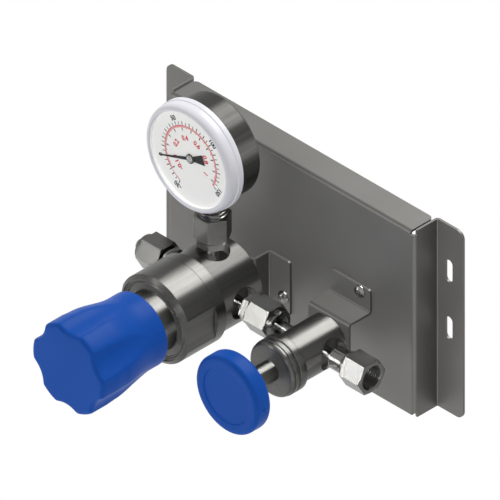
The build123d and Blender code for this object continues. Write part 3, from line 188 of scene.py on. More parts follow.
materials = {
    "panel_sheet": blastedSheet(),
    "turned_steel": turnedSteel("turned_steel"),
    "polished_steel": polishedSteel("polished_steel", (0.094, 0.093, 0.087), (0.106, 0.105, 0.1), 0.18),
    "tube_steel": polishedSteel("tube_steel", (0.13, 0.13, 0.125), (0.17, 0.168, 0.16), 0.16),
    "screw_steel": polishedSteel("screw_steel", (0.14, 0.138, 0.13), (0.2, 0.198, 0.19), 0.22),
    "spring_steel": polishedSteel("spring_steel", (0.08, 0.08, 0.078), (0.13, 0.13, 0.127), 0.3),
    "soft_seat": mouldedPlastic("soft_seat", (0.7, 0.7, 0.68), (0.74, 0.74, 0.72), 0.5, 0.00001),
    "blue_plastic": mouldedPlastic(
        "blue_plastic", (0.008, 0.065, 0.33), (0.01, 0.071, 0.35), 0.36, 0.00002, 0.04,
    ),
    "white_plastic": mouldedPlastic("white_plastic", (0.62, 0.62, 0.66), (0.65, 0.65, 0.69), 0.34, 0.00001),
    "dial_face": mouldedPlastic("dial_face", (0.8, 0.8, 0.77), (0.83, 0.83, 0.8), 0.6, 0.000005),
    "pointer_black": mouldedPlastic(
        "pointer_black", (0.003, 0.003, 0.003), (0.005, 0.005, 0.005), 0.45, 0.000005, 0.03,
    ),
    "print_black": mouldedPlastic(
        "print_black", (0.005, 0.005, 0.005), (0.01, 0.01, 0.01), 0.6, 0.000002, 0.03,
    ),
    "print_red": mouldedPlastic(
        "print_red", (0.55, 0.012, 0.03), (0.62, 0.018, 0.04), 0.6, 0.000002, 0.03,
    ),
    "hub_steel": polishedSteel("hub_steel", (0.2, 0.2, 0.195), (0.3, 0.3, 0.295), 0.25),
    # Near-black thread steel: painted shade for the gaps between the nuts and the inside of the outlet nut's
    # mouth
    "thread_steel": polishedSteel("thread_steel", (0.022, 0.022, 0.021), (0.03, 0.03, 0.028), 0.32),
    "case_steel": turnedSteel("case_steel", (0.05, 0.049, 0.046), (0.07, 0.069, 0.065), 0.4),
    "window_clear": clearWindow(),
    "rubber_seal": mouldedPlastic("rubber_seal", (0.02, 0.02, 0.02), (0.035, 0.035, 0.035), 0.6, 0.00002),
    "movement_brass": polishedSteel("movement_brass", (0.45, 0.33, 0.12), (0.55, 0.4, 0.16), 0.3),
}


def dressNodes():
    # Gives each carried-over node the material of its slot
    for subpart in frame["record"]["subparts"]:
        node = frame["nodes"][subpart["node"]]
        node.data.materials.clear()
        node.data.materials.append(materials[subpart["material_slot"]])
    frame["nodes"]["gauge_case"].data.materials[0] = materials["case_steel"]  # darker and duller steel


dressNodes()
print("nodes dressed")


# Making pieces

near = 0.01  # mm, what still counts as on the axis or on a face
overCut = 0.1  # mm, how far a turned shape reaches past the hexagon that trims it
weldDistance = 1e-6  # m


def addObject(name, data):
    holder = bpy.data.objects.new(name, data)
    bpy.context.scene.collection.objects.link(holder)
    return holder


def axisFrame(origin, direction, side):
    # Local Z runs along the direction and local X along the side
    return Matrix.Translation(origin) @ Matrix((side, direction.cross(side), direction)).transposed().to_4x4()


def facingUser(axis, depth):
    # A place on the axis of a turned part, with local Z towards the user
    return axisFrame(Vector((axis.x, depth, axis.z)), outward, rightward)


def addPiece(shape, name, finish, body, place=None, replaced=(), sharpAbove=35):
    # Turns a bmesh into a piece that rides on a body
    if place is not None:
        bmesh.ops.transform(shape, matrix=place, verts=shape.verts)
    mesh = bpy.data.meshes.new(name)
    shape.to_mesh(mesh)
    shape.free()
    mesh.shade_smooth()
    mesh.set_sharp_from_angle(angle=math.radians(sharpAbove))
    mesh.materials.append(materials[finish])
    piece = addObject(name, mesh)
    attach(piece, body)
    if replaced:
        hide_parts(*replaced)
    return piece


def weld(shape):
    bmesh.ops.remove_doubles(shape, verts=shape.verts, dist=weldDistance)
    bmesh.ops.recalc_face_normals(shape, faces=shape.faces)


def drawOutline(shape, outline):
    # Points and edges through an outline of (height, radius), in mm
    points = [shape.verts.new((radius * mm, 0, height * mm)) for height, radius in outline]
    edges = [shape.edges.new(pair) for pair in zip(points, points[1:])]
    return points, edges


def spinOutline(outline, steps, closed=False):
    # Spins an outline into a closed turned shape round local Z
    shape = bmesh.new()
    points, edges = drawOutline(shape, outline)
    if closed:
        edges.append(shape.edges.new((points[-1], points[0])))
    bmesh.ops.spin(
        shape, geom=points + edges, cent=(0, 0, 0), axis=(0, 0, 1), angle=math.tau,
        steps=steps, use_merge=True,
    )
    weld(shape)
    return shape


def arcPoints(centreHeight, centreRadius, size, start, end, count):
    # Points of an arc in an outline, its angles in degrees from the axis towards the radius
    turns = [math.radians(start + (end - start) * index / count) for index in range(count + 1)]
    return [
        (centreHeight + size * math.cos(turn), centreRadius + size * math.sin(turn)) for turn in turns
    ]


def cutWith(shape, tool, operation="DIFFERENCE"):
    # Boolean of two bmeshes
    meshes = []
    for name, part in (("body", shape), ("tool", tool)):
        mesh = bpy.data.meshes.new(name)
        part.to_mesh(mesh)
        part.free()
        meshes.append(mesh)
    holders = [addObject(mesh.name, mesh) for mesh in meshes]
    cut = holders[0].modifiers.new("cut", "BOOLEAN")
    cut.operation = operation
    cut.solver = "EXACT"
    cut.object = holders[1]
    ready = holders[0].evaluated_get(bpy.context.evaluated_depsgraph_get())
    result = bmesh.new()
    result.from_mesh(ready.to_mesh())
    for holder in holders:
        bpy.data.objects.remove(holder)
    for mesh in meshes:
        bpy.data.meshes.remove(mesh)
    return result


def boxTool(size, centre):
    # A box for a cut, in mm
    box = bmesh.new()
    bmesh.ops.create_cube(box, size=1)
    bmesh.ops.scale(box, vec=[side * mm for side in size], verts=box.verts)
    bmesh.ops.translate(box, vec=[place * mm for place in centre], verts=box.verts)
    return box


def hexCorner(flats):
    return flats / 2 / math.cos(math.pi / 6)


def hexPrism(corner, length):
    # A hexagon round local Z that reaches 1 mm past both ends of the length
    prism = bmesh.new()
    bmesh.ops.create_cone(
        prism, cap_ends=True, segments=6, radius1=corner * mm, radius2=corner * mm,
        depth=(length + 2) * mm,
    )
    bmesh.ops.translate(prism, vec=(0, 0, length / 2 * mm), verts=prism.verts)
    return prism


def mergeInto(whole, part, place):
    # Adds a bmesh to another, moved to its place
    bmesh.ops.transform(part, matrix=place, verts=part.verts)
    mesh = bpy.data.meshes.new("part")
    part.to_mesh(mesh)
    part.free()
    whole.from_mesh(mesh)
    bpy.data.meshes.remove(mesh)


# Knob: deep moulded cap with six finger flutes

knobShape = {
    "length": 56.5,
    "rimRadius": 23.0,
    "waist": 8.0,
    "shoulderRadius": 27.5,
    "shoulder": 37.0,
    "radius": 28.0,
    "full": 43.0,
    "frontRound": 2.5,
    "bore": 18.6,
    "boreDepth": 43.0,
    "edge": 0.8,
    "flutes": 6,
    "firstFlute": 28.0,
    "cutterOffset": 43.2,
    "cutterRadius": 18.4,
    "runOut": 34.0,
    "taper": 21.0,
    "dip": 1.5,
    "blend": 0.4,
    "fade": 9.0,
    "leastBlend": 0.01,
    "boreMargin": 0.1,
    "rimHeights": (3.0, 5.5),
    "swellSteps": 20,
    "rampSteps": 8,
    "gripHeights": (45.5, 48.5, 51.5),
    "faceShares": (0.93, 0.8, 0.55, 0.28),
    "steps": 216,
}


def fluteRadius(turn, height):
    # How far out the nearest flute lets the grip reach at this angle and height, in mm
    facts = knobShape
    pitch = math.tau / facts["flutes"]
    offAxis = (turn - math.radians(facts["firstFlute"]) + pitch / 2) % pitch - pitch / 2
    shortOfRunOut = max(0.0, facts["runOut"] - height) / facts["taper"]
    cutter = facts["cutterRadius"] + facts["dip"] * shortOfRunOut
    aside = facts["cutterOffset"] * math.sin(offAxis)
    if abs(aside) >= cutter:
        return 2 * facts["radius"]
    return facts["cutterOffset"] * math.cos(offAxis) - math.sqrt(cutter**2 - aside**2)


def softMinimum(first, second, blend):
    low, gap = min(first, second), abs(first - second)
    return low - blend * math.log(1 + math.exp(-gap / blend))


def makeKnob():
    facts = knobShape
    outline = [(facts["boreDepth"], 0.0), (facts["boreDepth"], facts["bore"]), (facts["edge"], facts["bore"])]
    outline += [(0.0, facts["bore"] + facts["edge"])]
    rimCentre = facts["rimRadius"] - facts["edge"]
    outline += arcPoints(facts["edge"], rimCentre, facts["edge"], 180, 90, 6)
    outline += [(height, facts["rimRadius"]) for height in facts["rimHeights"]]
    rise = facts["shoulder"] - facts["waist"]
    for index in range(facts["swellSteps"] + 1):
        along = index / facts["swellSteps"]
        swell = 3 * along**2 - 2 * along**3
        outline.append((
            facts["waist"] + rise * along,
            facts["rimRadius"] + (facts["shoulderRadius"] - facts["rimRadius"]) * swell,
        ))
    for index in range(1, facts["rampSteps"] + 1):
        along = index / facts["rampSteps"]
        outline.append((
            facts["shoulder"] + (facts["full"] - facts["shoulder"]) * along,
            facts["shoulderRadius"] + (facts["radius"] - facts["shoulderRadius"]) * along,
        ))
    outline += [(height, facts["radius"]) for height in facts["gripHeights"]]
    turnHeight = facts["length"] - facts["frontRound"]
    turnRadius = facts["radius"] - facts["frontRound"]
    outline += arcPoints(turnHeight, turnRadius, facts["frontRound"], 90, 0, 8)
    outline += [(facts["length"], turnRadius * share) for share in facts["faceShares"]]
    outline += [(facts["length"], 0.0)]
    shape = spinOutline(outline, facts["steps"])
    fluteEnd = facts["runOut"] - facts["taper"]
    for vertex in shape.verts:
        height, radius = vertex.co.z / mm, vertex.co.xy.length / mm
        onFace = height > facts["length"] - near
        inBore = radius < facts["bore"] + facts["edge"] + facts["boreMargin"]
        if radius < near or height <= fluteEnd or (inBore and not onFace):
            continue
        blend = facts["blend"] * min(1, (height - fluteEnd) / facts["fade"]) + facts["leastBlend"]
        turn = math.atan2(vertex.co.y, vertex.co.x)
        reach = softMinimum(facts["radius"], fluteRadius(turn, height), blend)
        if onFace:
            wanted = radius / turnRadius * (reach - facts["frontRound"])
        elif height > turnHeight:
            wanted = reach - (facts["radius"] - radius)
        else:
            wanted = softMinimum(radius, fluteRadius(turn, height), blend)
        vertex.co.xy *= wanted / radius
    addPiece(
        shape, "knob_grip", "blue_plastic", "knob", facingUser(regulatorAxis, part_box("knob")[1][1]),
        replaced=["knob"], sharpAbove=50,
    )


makeKnob()
print("knob made")


# Handwheel: round disc, well rounded edges, a shallow dish in its face and a dimple in its rim

wheelShape = {
    "radius": 24.5,
    "thickness": 12.0,
    "frontRound": 2.7,
    "backRound": 3.0,
    "dishRadius": 17.6,
    "dishDepth": 0.7,
    "dishRound": 0.5,
    "backRadius": 20.0,
    "backDepth": 5.0,
    "hubRadius": 11.0,
    "stemHole": 6.4,
    "stemDepth": 8.0,
    "hubEdge": 0.6,
    "recessEdge": 0.8,
    "rimLip": (0.5, 0.4),
    "dishLip": 0.15,
    "dimpleRadius": 1.7,
    "dimpleDepth": 0.9,
    "dimpleHeight": 7.0,
    "dimpleSegments": (24, 12),
    "steps": 160,
}


def makeHandwheel():
    facts = wheelShape
    radius, hub, recess = facts["radius"], facts["hubRadius"], facts["backRadius"]
    depth, edge = facts["backDepth"], facts["recessEdge"]
    lipHeight, lipWidth = facts["rimLip"]
    outline = [
        (facts["stemDepth"], 0.0), (facts["stemDepth"], facts["stemHole"]), (0.0, facts["stemHole"]),
        (0.0, hub - facts["hubEdge"]), (facts["hubEdge"], hub), (depth - edge, hub), (depth, hub + edge),
        (depth, recess - edge), (depth - edge, recess), (lipHeight, recess), (0.0, recess + lipWidth),
    ]
    backRound, frontRound = facts["backRound"], facts["frontRound"]
    outline += arcPoints(backRound, radius - backRound, backRound, 180, 90, 8)
    outline += arcPoints(facts["thickness"] - frontRound, radius - frontRound, frontRound, 90, 0, 10)
    dish = facts["thickness"] - facts["dishDepth"]
    outline += arcPoints(
        facts["thickness"] - facts["dishRound"], facts["dishRadius"] + facts["dishRound"],
        facts["dishRound"], 0, -80, 4,
    )
    outline += [(dish, facts["dishRadius"] - facts["dishLip"]), (dish, facts["dishRadius"] / 2), (dish, 0.0)]
    shape = spinOutline(outline, facts["steps"])
    dimple = bmesh.new()
    sphere = (facts["dimpleRadius"]**2 + facts["dimpleDepth"]**2) / (2 * facts["dimpleDepth"])
    sides, rings = facts["dimpleSegments"]
    bmesh.ops.create_uvsphere(dimple, u_segments=sides, v_segments=rings, radius=sphere * mm)
    aside = (radius + sphere - facts["dimpleDepth"]) * mm
    bmesh.ops.translate(dimple, verts=dimple.verts, vec=(aside, 0, facts["dimpleHeight"] * mm))
    shape = cutWith(shape, dimple)
    addPiece(
        shape, "handwheel_disc", "blue_plastic", "handwheel",
        facingUser(valveAxis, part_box("handwheel")[1][1]), replaced=["handwheel"], sharpAbove=40,
    )


makeHandwheel()
print("handwheel made")


# Cap nut: two wrench flats, a scribed line, a bevelled rim and turned rings on its face

capShape = {
    "radius": 27.5,
    "length": 31.6,
    "bore": 24.05,
    "wall": 6.0,
    "neckBore": 18.3,
    "flats": 50.8,
    "plain": 8.5,
    "line": 0.35,
    "undercut": 0.8,
    "edge": 0.3,
    "cutter": (20.0, 80.0),
    "bevelDepth": 1.9,
    "bevelWidth": 2.3,
    "faceRings": (
        (0.0, 24.9), (0.9, 24.7), (0.9, 23.9), (0.1, 22.9), (0.1, 22.5), (0.9, 22.2), (0.9, 18.9),
        (0.3, 18.6), (0.3, 18.3),
    ),
    "steps": 180,
}


def makeCap():
    facts = capShape
    radius, length, line = facts["radius"], facts["length"], facts["line"]
    outline = [(length - drop, ring) for drop, ring in reversed(facts["faceRings"])]
    outline += [(length, radius - facts["bevelWidth"]), (length - facts["bevelDepth"], radius)]
    outline += [
        (facts["plain"], radius), (facts["plain"], radius - line),
        (facts["plain"] - line, radius - line), (facts["plain"] - line, radius),
        (facts["undercut"] + facts["edge"], radius), (facts["undercut"], radius - facts["edge"]),
        (facts["undercut"], facts["bore"]), (length - facts["wall"], facts["bore"]),
        (length - facts["wall"], facts["neckBore"]),
    ]
    shape = spinOutline(outline, facts["steps"], closed=True)
    cutterWidth, cutterHeight = facts["cutter"]
    for side in (-1, 1):
        centre = (side * (facts["flats"] + cutterWidth) / 2, 0, facts["plain"] + length / 2)
        shape = cutWith(shape, boxTool((cutterWidth, cutterHeight, length), centre))
    addPiece(
        shape, "cap_ring_nut", "turned_steel", "panel",
        facingUser(regulatorAxis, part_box("cap_nut")[1][1]), replaced=["cap_nut"], sharpAbove=20,
    )


makeCap()
print("cap made")


# Valve bonnet nut: two turned grooves and a rounded front edge

valveNutShape = {
    "radius": 17.4,
    "length": 12.5,
    "bore": 13.55,
    "wall": 5.0,
    "neck": 8.05,
    "edge": 0.45,
    "seam": 0.35,
    "grooves": ((5.5, 6.7), (9.2, 9.9)),
    "grooveDepths": (1.0, 0.7),
    "frontRadius": 17.0,
    "frontStep": 0.3,
    "frontRound": 2.2,
    "steps": 144,
}


def makeValveNut():
    facts = valveNutShape
    radius, edge = facts["radius"], facts["edge"]
    outline = [(facts["length"] - facts["wall"], facts["bore"]), (0.0, facts["bore"])]
    outline += [(0.0, radius - 2 * facts["seam"]), (facts["seam"], radius - 2 * facts["seam"])]
    start = facts["seam"]
    for (back, front), depth in zip(facts["grooves"], facts["grooveDepths"]):
        outline += arcPoints(start + edge, radius - edge, edge, 180, 90, 4)
        outline += arcPoints(back - edge, radius - edge, edge, 90, 0, 4)
        outline += [(back, radius - depth), (front, radius - depth)]
        start = front
    step = facts["frontStep"]
    outline += [(start, facts["frontRadius"] - step), (start + step, facts["frontRadius"])]
    outline += arcPoints(
        facts["length"] - facts["frontRound"], facts["frontRadius"] - facts["frontRound"],
        facts["frontRound"], 90, 0, 8,
    )
    outline += [(facts["length"], facts["neck"]), (facts["length"] - facts["wall"], facts["neck"])]
    shape = spinOutline(outline, facts["steps"], closed=True)
    addPiece(
        shape, "valve_ring_nut", "turned_steel", "panel",
        facingUser(valveAxis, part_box("valve_bonnet_nut")[1][1]), replaced=["valve_bonnet_nut"],
        sharpAbove=40,
    )


makeValveNut()
print("valve nut made")


# Long coupling nuts: a hexagon with a chamfered mouth, and a round nose where the tube comes out

couplingNutShape = {
    "flats": 19.05,
    "length": 18.9,
    "hexLength": 15.3,
    "mouthRadius": 9.35,
    "mouthChamfer": 0.5,
    "chamferSlope": 0.5,
    "noseRadius": 8.7,
    "noseStep": 0.5,
    "stepStart": 1.5,
    "stepEnd": 1.7,
    "noseRound": 0.7,
    "noseChamfer": 0.3,
    "threadRadius": 7.15,
    "threadEnd": 10.7,
    "pocketRadius": 6.45,
    "pocketEnd": 15.0,
    "tubeHole": 3.225,
    "noseHole": 5.2,
    "noseHoleStart": 16.9,
    "steps": 96,
}
squareEnough = 0.01  # the largest cosine that still counts as a right angle


def flatSide(node, axis):
    # The normal of the largest flat along a nut, read from its solid
    faces = frame["nodes"][node].data.polygons
    flats = [face for face in faces if abs(face.normal.dot(axis)) < squareEnough]
    return max(flats, key=lambda face: face.area).normal.copy()


def makeCouplingNut(node, name, body, direction):
    facts = couplingNutShape
    corner = hexCorner(facts["flats"])
    past = corner + overCut
    length, nose = facts["length"], facts["noseRadius"]
    mouthChamfer, noseChamfer = facts["mouthChamfer"], facts["noseChamfer"]
    outline = [
        (mouthChamfer, facts["threadRadius"]), (facts["threadEnd"], facts["threadRadius"]),
        (facts["threadEnd"], facts["pocketRadius"]), (facts["pocketEnd"], facts["pocketRadius"]),
        (facts["pocketEnd"], facts["tubeHole"]), (facts["noseHoleStart"], facts["tubeHole"]),
        (facts["noseHoleStart"], facts["noseHole"]), (length - noseChamfer, facts["noseHole"]),
        (length, facts["noseHole"] + noseChamfer),
    ]
    outline += arcPoints(
        length - facts["noseRound"], nose - facts["noseStep"] - facts["noseRound"], facts["noseRound"],
        0, 90, 5,
    )
    hexEnd = facts["hexLength"]
    outline += [
        (hexEnd + facts["stepEnd"], nose - facts["noseStep"]), (hexEnd + facts["stepStart"], nose),
        (hexEnd, nose), (hexEnd, past), ((past - facts["mouthRadius"]) * facts["chamferSlope"], past),
        (0.0, facts["mouthRadius"]), (0.0, facts["threadRadius"] + mouthChamfer),
    ]
    turned = spinOutline(outline, facts["steps"], closed=True)
    shape = cutWith(turned, hexPrism(corner, length), "INTERSECT")
    back = middle(node) - direction * length / 2 * mm
    place = axisFrame(back, direction, flatSide(node, direction))
    addPiece(shape, name, "polished_steel", body, place, replaced=[node], sharpAbove=25)


makeCouplingNut("inlet_nut", "inlet_hex_nut", "panel", leftward)
makeCouplingNut("link_nut", "link_hex_nut", "panel", rightward)
makeCouplingNut("gauge_nut", "gauge_hex_nut", "panel", upward)
makeCouplingNut("outlet_nut", "outlet_hex_nut", "outlet_nut", leftward)
print("coupling nuts made")


# Short male nuts behind the coupling nuts: a crisp hexagon, and a thread ring in the gap, near black as
# painted shade

maleNutShape = {
    "flats": 15.9,
    "start": 29.0,
    "hexLength": 4.2,
    "chamfer": 0.3,
    "bore": 3.6,
    "threadRadius": 6.6,
    "threadEnd": 8.5,
    "steps": 96,
}


def makeMaleNuts():
    facts = maleNutShape
    corner = hexCorner(facts["flats"])
    past = corner + overCut
    bore, length, chamfer = facts["bore"], facts["hexLength"], facts["chamfer"]
    centre = Vector((regulatorAxis.x, portY, regulatorAxis.z))
    nuts, threads = bmesh.new(), bmesh.new()
    for node, direction in (("inlet_nut", leftward), ("link_nut", rightward), ("gauge_nut", upward)):
        place = axisFrame(centre + direction * facts["start"] * mm, direction, flatSide(node, direction))
        turned = spinOutline(
            [
                (0.0, bore), (0.0, corner - 2 * chamfer), (chamfer, past),
                (length - chamfer, past), (length, corner - 2 * chamfer), (length, bore),
            ],
            facts["steps"], closed=True,
        )
        mergeInto(nuts, cutWith(turned, hexPrism(corner, length), "INTERSECT"), place)
        thread = spinOutline(
            [
                (length, bore), (length, facts["threadRadius"]),
                (facts["threadEnd"], facts["threadRadius"]), (facts["threadEnd"], bore),
            ],
            facts["steps"], closed=True,
        )
        mergeInto(threads, thread, place)
    addPiece(nuts, "male_hex_nuts", "polished_steel", "panel", replaced=["male_nuts"], sharpAbove=25)
    # The thread rings are near black: painted shade in the gaps between the nuts
    addPiece(threads, "male_nut_threads", "thread_steel", "panel")


makeMaleNuts()
print("male nuts made")


# Gauge: bezel, printed dial and pointer hub

bezelShape = {
    "radius": 34.0,
    "rimRadius": 33.5,
    "length": 10.9,
    "inner": 31.4,
    "ring": 3.6,
    "crownStart": 6.2,
    "faceRadius": 30.9,
    "lipRadius": 30.35,
    "opening": 29.85,
    "windowDepth": 9.75,
    "edge": 0.35,
    "ringStep": 0.02,
    "crownSteps": 12,
    "lipEdge": 0.15,
    "openingEdge": 0.3,
    "steps": 180,
}
dialShape = {
    "zeroAngle": 200.3,
    "degreesPerUnit": 1.5287,
    "lowest": -30,
    "highest": 150,
    "minorUnits": 5,
    "majorUnits": 10,
    "numbers": (-30, 0, 50, 100, 150),
    "innerUnit": 145.04,  # units of the outer scale in one of the inner scale
    "innerTenths": (-1, 0, 2, 4, 6, 8, 10),
    "redRange": (-10, 104),  # hundredths
    "markRange": (-1, 11),  # tenths
    "tickOuter": 23.0,
    "tickInner": 20.7,
    "tickWidth": 0.6,
    "minorReach": 1.9,
    "minorWidth": 0.44,
    "arcRadius": 20.3,
    "arcWidth": 0.4,
    "arcSteps": 120,
    "arcOverlap": 1.02,
    "redReach": 1.7,
    "redShort": 0.7,
    "redWidth": 0.42,
    "markOuter": 18.8,
    "markInner": 16.9,
    "markWidths": (0.35, 0.95),
    "numberRadius": 24.9,
    "numberSize": 4.1,
    "innerNumberRadius": 12.4,
    "innerNumberSize": 4.3,
    "boldness": 0.16,
    "curveSteps": 4,
    "height": 0.03,
}
hubShape = {
    "radius": 2.4,
    "height": 0.2,
    "edgeDrop": 0.12,
    "edgeWidth": 0.3,
    "dishRadius": 1.4,
    "dishFloor": 1.25,
    "dishDepth": 0.1,
    "slotWidth": 0.8,
    "slotLength": 5.28,
    "slotDepth": 0.15,
    "slotAngle": 35,
    "steps": 64,
}


def makeBezel():
    facts = bezelShape
    edge = facts["edge"]
    outline = [(facts["windowDepth"], facts["inner"]), (0.0, facts["inner"])]
    outline += arcPoints(edge, facts["radius"] - edge, edge, 180, 90, 4)
    outline += arcPoints(facts["ring"] - edge, facts["radius"] - edge, edge, 90, 0, 4)
    outline += [(facts["ring"] + facts["ringStep"], facts["rimRadius"])]
    rise, drop = facts["length"] - facts["crownStart"], facts["rimRadius"] - facts["faceRadius"]
    for index in range(facts["crownSteps"] + 1):
        turn = math.radians(90 - 90 * index / facts["crownSteps"])
        outline.append((
            facts["crownStart"] + rise * math.cos(turn), facts["faceRadius"] + drop * math.sin(turn),
        ))
    lip = facts["lipEdge"]
    outline += [
        (facts["length"], facts["lipRadius"] + lip), (facts["length"] - lip, facts["lipRadius"]),
        (facts["windowDepth"] + facts["openingEdge"], facts["opening"]),
        (facts["windowDepth"], facts["opening"]),
    ]
    shape = spinOutline(outline, facts["steps"], closed=True)
    addPiece(
        shape, "bezel_ring", "white_plastic", "panel", facingUser(gaugeAxis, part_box("bezel")[1][1]),
        replaced=["bezel"], sharpAbove=30,
    )


def dialPlace():
    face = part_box("dial")[0][1]
    return Vector((gaugeAxis.x, face, gaugeAxis.z))


def stroke(shape, angle, inner, outer, width, outerWidth=None):
    # A radial mark on the dial, in mm, seen from the front
    turn = math.radians(angle)
    along = Vector((math.cos(turn), 0, math.sin(turn)))
    across = Vector((-math.sin(turn), 0, math.cos(turn)))
    start = dialPlace()
    lift = outward * dialShape["height"] * mm
    corners = []
    for distance, half in ((inner, width / 2), (outer, (outerWidth or width) / 2)):
        for side in (-1, 1):
            corners.append(start + (along * distance + across * side * half) * mm + lift)
    made = [shape.verts.new(corner) for corner in corners]
    face = shape.faces.new((made[0], made[2], made[3], made[1]))
    raised = bmesh.ops.extrude_face_region(shape, geom=[face])
    moved = [item for item in raised["geom"] if isinstance(item, bmesh.types.BMVert)]
    bmesh.ops.translate(shape, verts=moved, vec=-lift)


def arcStroke(shape, startAngle, endAngle, radius, width, count):
    step = (endAngle - startAngle) / count
    chord = radius * math.radians(abs(step)) * dialShape["arcOverlap"]
    for index in range(count):
        angle = startAngle + step * (index + 0.5)
        stroke(shape, angle, radius - width / 2, radius + width / 2, chord)


def numberShape(words, angle, radius, size):
    # A number on the dial, its top pointing outwards
    curve = bpy.data.curves.new("number", "FONT")
    curve.body = words
    curve.size = size * mm
    curve.offset = dialShape["boldness"] * mm
    curve.align_x = "CENTER"
    curve.align_y = "CENTER"
    curve.extrude = dialShape["height"] * mm / 2
    curve.resolution_u = dialShape["curveSteps"]
    holder = addObject("number", curve)
    mesh = bpy.data.meshes.new_from_object(holder)
    turn = math.radians(angle)
    along = Vector((math.cos(turn), 0, math.sin(turn)))
    across = Vector((math.sin(turn), 0, -math.cos(turn)))
    where = dialPlace() + along * radius * mm + outward * dialShape["height"] * mm / 2
    mesh.transform(axisFrame(where, outward, across))
    bpy.data.objects.remove(holder)
    bpy.data.curves.remove(curve)
    return mesh


def dialAngle(units):
    return dialShape["zeroAngle"] - dialShape["degreesPerUnit"] * units


def printDial():
    facts = dialShape
    black, red = bmesh.new(), bmesh.new()
    for units in range(facts["lowest"], facts["highest"] + 1, facts["minorUnits"]):
        if units % facts["majorUnits"] == 0:
            stroke(black, dialAngle(units), facts["tickInner"], facts["tickOuter"], facts["tickWidth"])
        else:
            reach = facts["tickInner"] + facts["minorReach"]
            stroke(black, dialAngle(units), facts["tickInner"], reach, facts["minorWidth"])
    arcStroke(
        red, dialAngle(facts["lowest"]), dialAngle(facts["highest"]), facts["arcRadius"],
        facts["arcWidth"], facts["arcSteps"],
    )
    for hundredths in range(*facts["redRange"]):
        angle = dialAngle(facts["innerUnit"] * hundredths / 100)
        reach = facts["redReach"] * (1.0 if hundredths % 5 == 0 else facts["redShort"])
        stroke(red, angle, facts["arcRadius"] - reach, facts["arcRadius"], facts["redWidth"])
    for tenths in range(*facts["markRange"]):
        angle = dialAngle(facts["innerUnit"] * tenths / 10)
        stroke(black, angle, facts["markInner"], facts["markOuter"], *facts["markWidths"])
    for units in facts["numbers"]:
        black.from_mesh(numberShape(str(units), dialAngle(units), facts["numberRadius"], facts["numberSize"]))
    for tenths in facts["innerTenths"]:
        words = f"{tenths / 10:g}"
        angle = dialAngle(facts["innerUnit"] * tenths / 10)
        red.from_mesh(numberShape(words, angle, facts["innerNumberRadius"], facts["innerNumberSize"]))
    addPiece(black, "dial_black_print", "print_black", "panel")
    addPiece(red, "dial_red_print", "print_red", "panel")


def makePointerHub():
    facts = hubShape
    radius, height = facts["radius"], facts["height"]
    outline = [
        (0.0, 0.0), (0.0, radius), (height - facts["edgeDrop"], radius),
        (height, radius - facts["edgeWidth"]), (height, facts["dishRadius"]),
        (height - facts["dishDepth"], facts["dishFloor"]), (height - facts["dishDepth"], 0.0),
    ]
    slotSize = (facts["slotWidth"], facts["slotLength"], 2 * facts["slotDepth"])
    shape = cutWith(spinOutline(outline, facts["steps"]), boxTool(slotSize, (0, 0, height)))
    front = facingUser(gaugeAxis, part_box("pinion_shaft")[0][1])
    turned = Matrix.Rotation(math.radians(facts["slotAngle"]), 4, "Z")
    addPiece(shape, "pointer_hub", "hub_steel", "pointer", front @ turned)


makeBezel()
printDial()
makePointerHub()
print("gauge dressed")


# Screw heads with their cross recesses, and the thread in the open nut

screwShape = {
    "radius": 4.0,
    "rim": 0.6,
    "height": 2.6,
    "recess": (1.0, 4.6, 1.5),
    "recessTurn": 20,
    "shank": 2.0,
    "shankEdge": 0.4,
    "reach": 7.0,
    "steps": 64,
}
threadShape = {
    "outer": 7.2,
    "inner": 6.62,
    "pitch": 1.411,
    "turns": 7,
    "crest": 0.25,
    "inset": 0.2,
    "stepsPerTurn": 48,
}


def makeBracketScrews():
    facts = screwShape
    heads = bmesh.new()
    low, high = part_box("bracket_screws")
    radius = facts["radius"] * mm
    places = (
        Vector((low[0] + radius, low[1] + facts["height"] * mm, low[2] + radius)),
        Vector((high[0] - radius, low[1] + facts["height"] * mm, high[2] - radius)),
    )
    dome = facts["height"] - facts["rim"]
    dish = (facts["radius"]**2 + dome**2) / (2 * dome)
    sweep = math.degrees(math.asin(facts["radius"] / dish))
    reach, shank, edge = facts["reach"], facts["shank"], facts["shankEdge"]
    outline = [(-reach, 0.0), (-reach, shank - edge), (edge - reach, shank), (0.0, shank)]
    outline += [(0.0, facts["radius"])]
    outline += arcPoints(facts["height"] - dish, 0.0, dish, sweep, 0, 12)
    for place in places:
        head = spinOutline(outline, facts["steps"])
        for turn in (0, 90):
            arm = boxTool(facts["recess"], (0, 0, facts["height"]))
            spun = Matrix.Rotation(math.radians(turn + facts["recessTurn"]), 3, "Z")
            bmesh.ops.rotate(arm, cent=(0, 0, 0), matrix=spun, verts=arm.verts)
            head = cutWith(head, arm)
        mergeInto(heads, head, axisFrame(place, outward, rightward))
    addPiece(heads, "bracket_pan_screws", "screw_steel", "panel", replaced=["bracket_screws"])


def makeOutletThread():
    facts = threadShape
    shape = bmesh.new()
    half = facts["pitch"] / 2
    points, edges = drawOutline(shape, [
        (0.0, facts["outer"]), (half - facts["crest"] / 2, facts["inner"]),
        (half + facts["crest"] / 2, facts["inner"]), (facts["pitch"], facts["outer"]),
    ])
    steps = facts["turns"] * facts["stepsPerTurn"]
    bmesh.ops.spin(
        shape, geom=points + edges, cent=(0, 0, 0), axis=(0, 0, 1), angle=math.tau * facts["turns"],
        dvec=(0, 0, facts["pitch"] / facts["stepsPerTurn"] * mm), steps=steps, use_merge=False,
    )
    mouth = Vector((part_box("outlet_nut")[1][0], portY, regulatorAxis.z))
    start = mouth + leftward * facts["inset"] * mm
    # Near black: painted shade inside the nut's mouth
    addPiece(
        shape, "outlet_nut_thread", "thread_steel", "outlet_nut", axisFrame(start, leftward, outward),
        sharpAbove=20,
    )


makeBracketScrews()
makeOutletThread()
print("screws and thread made")
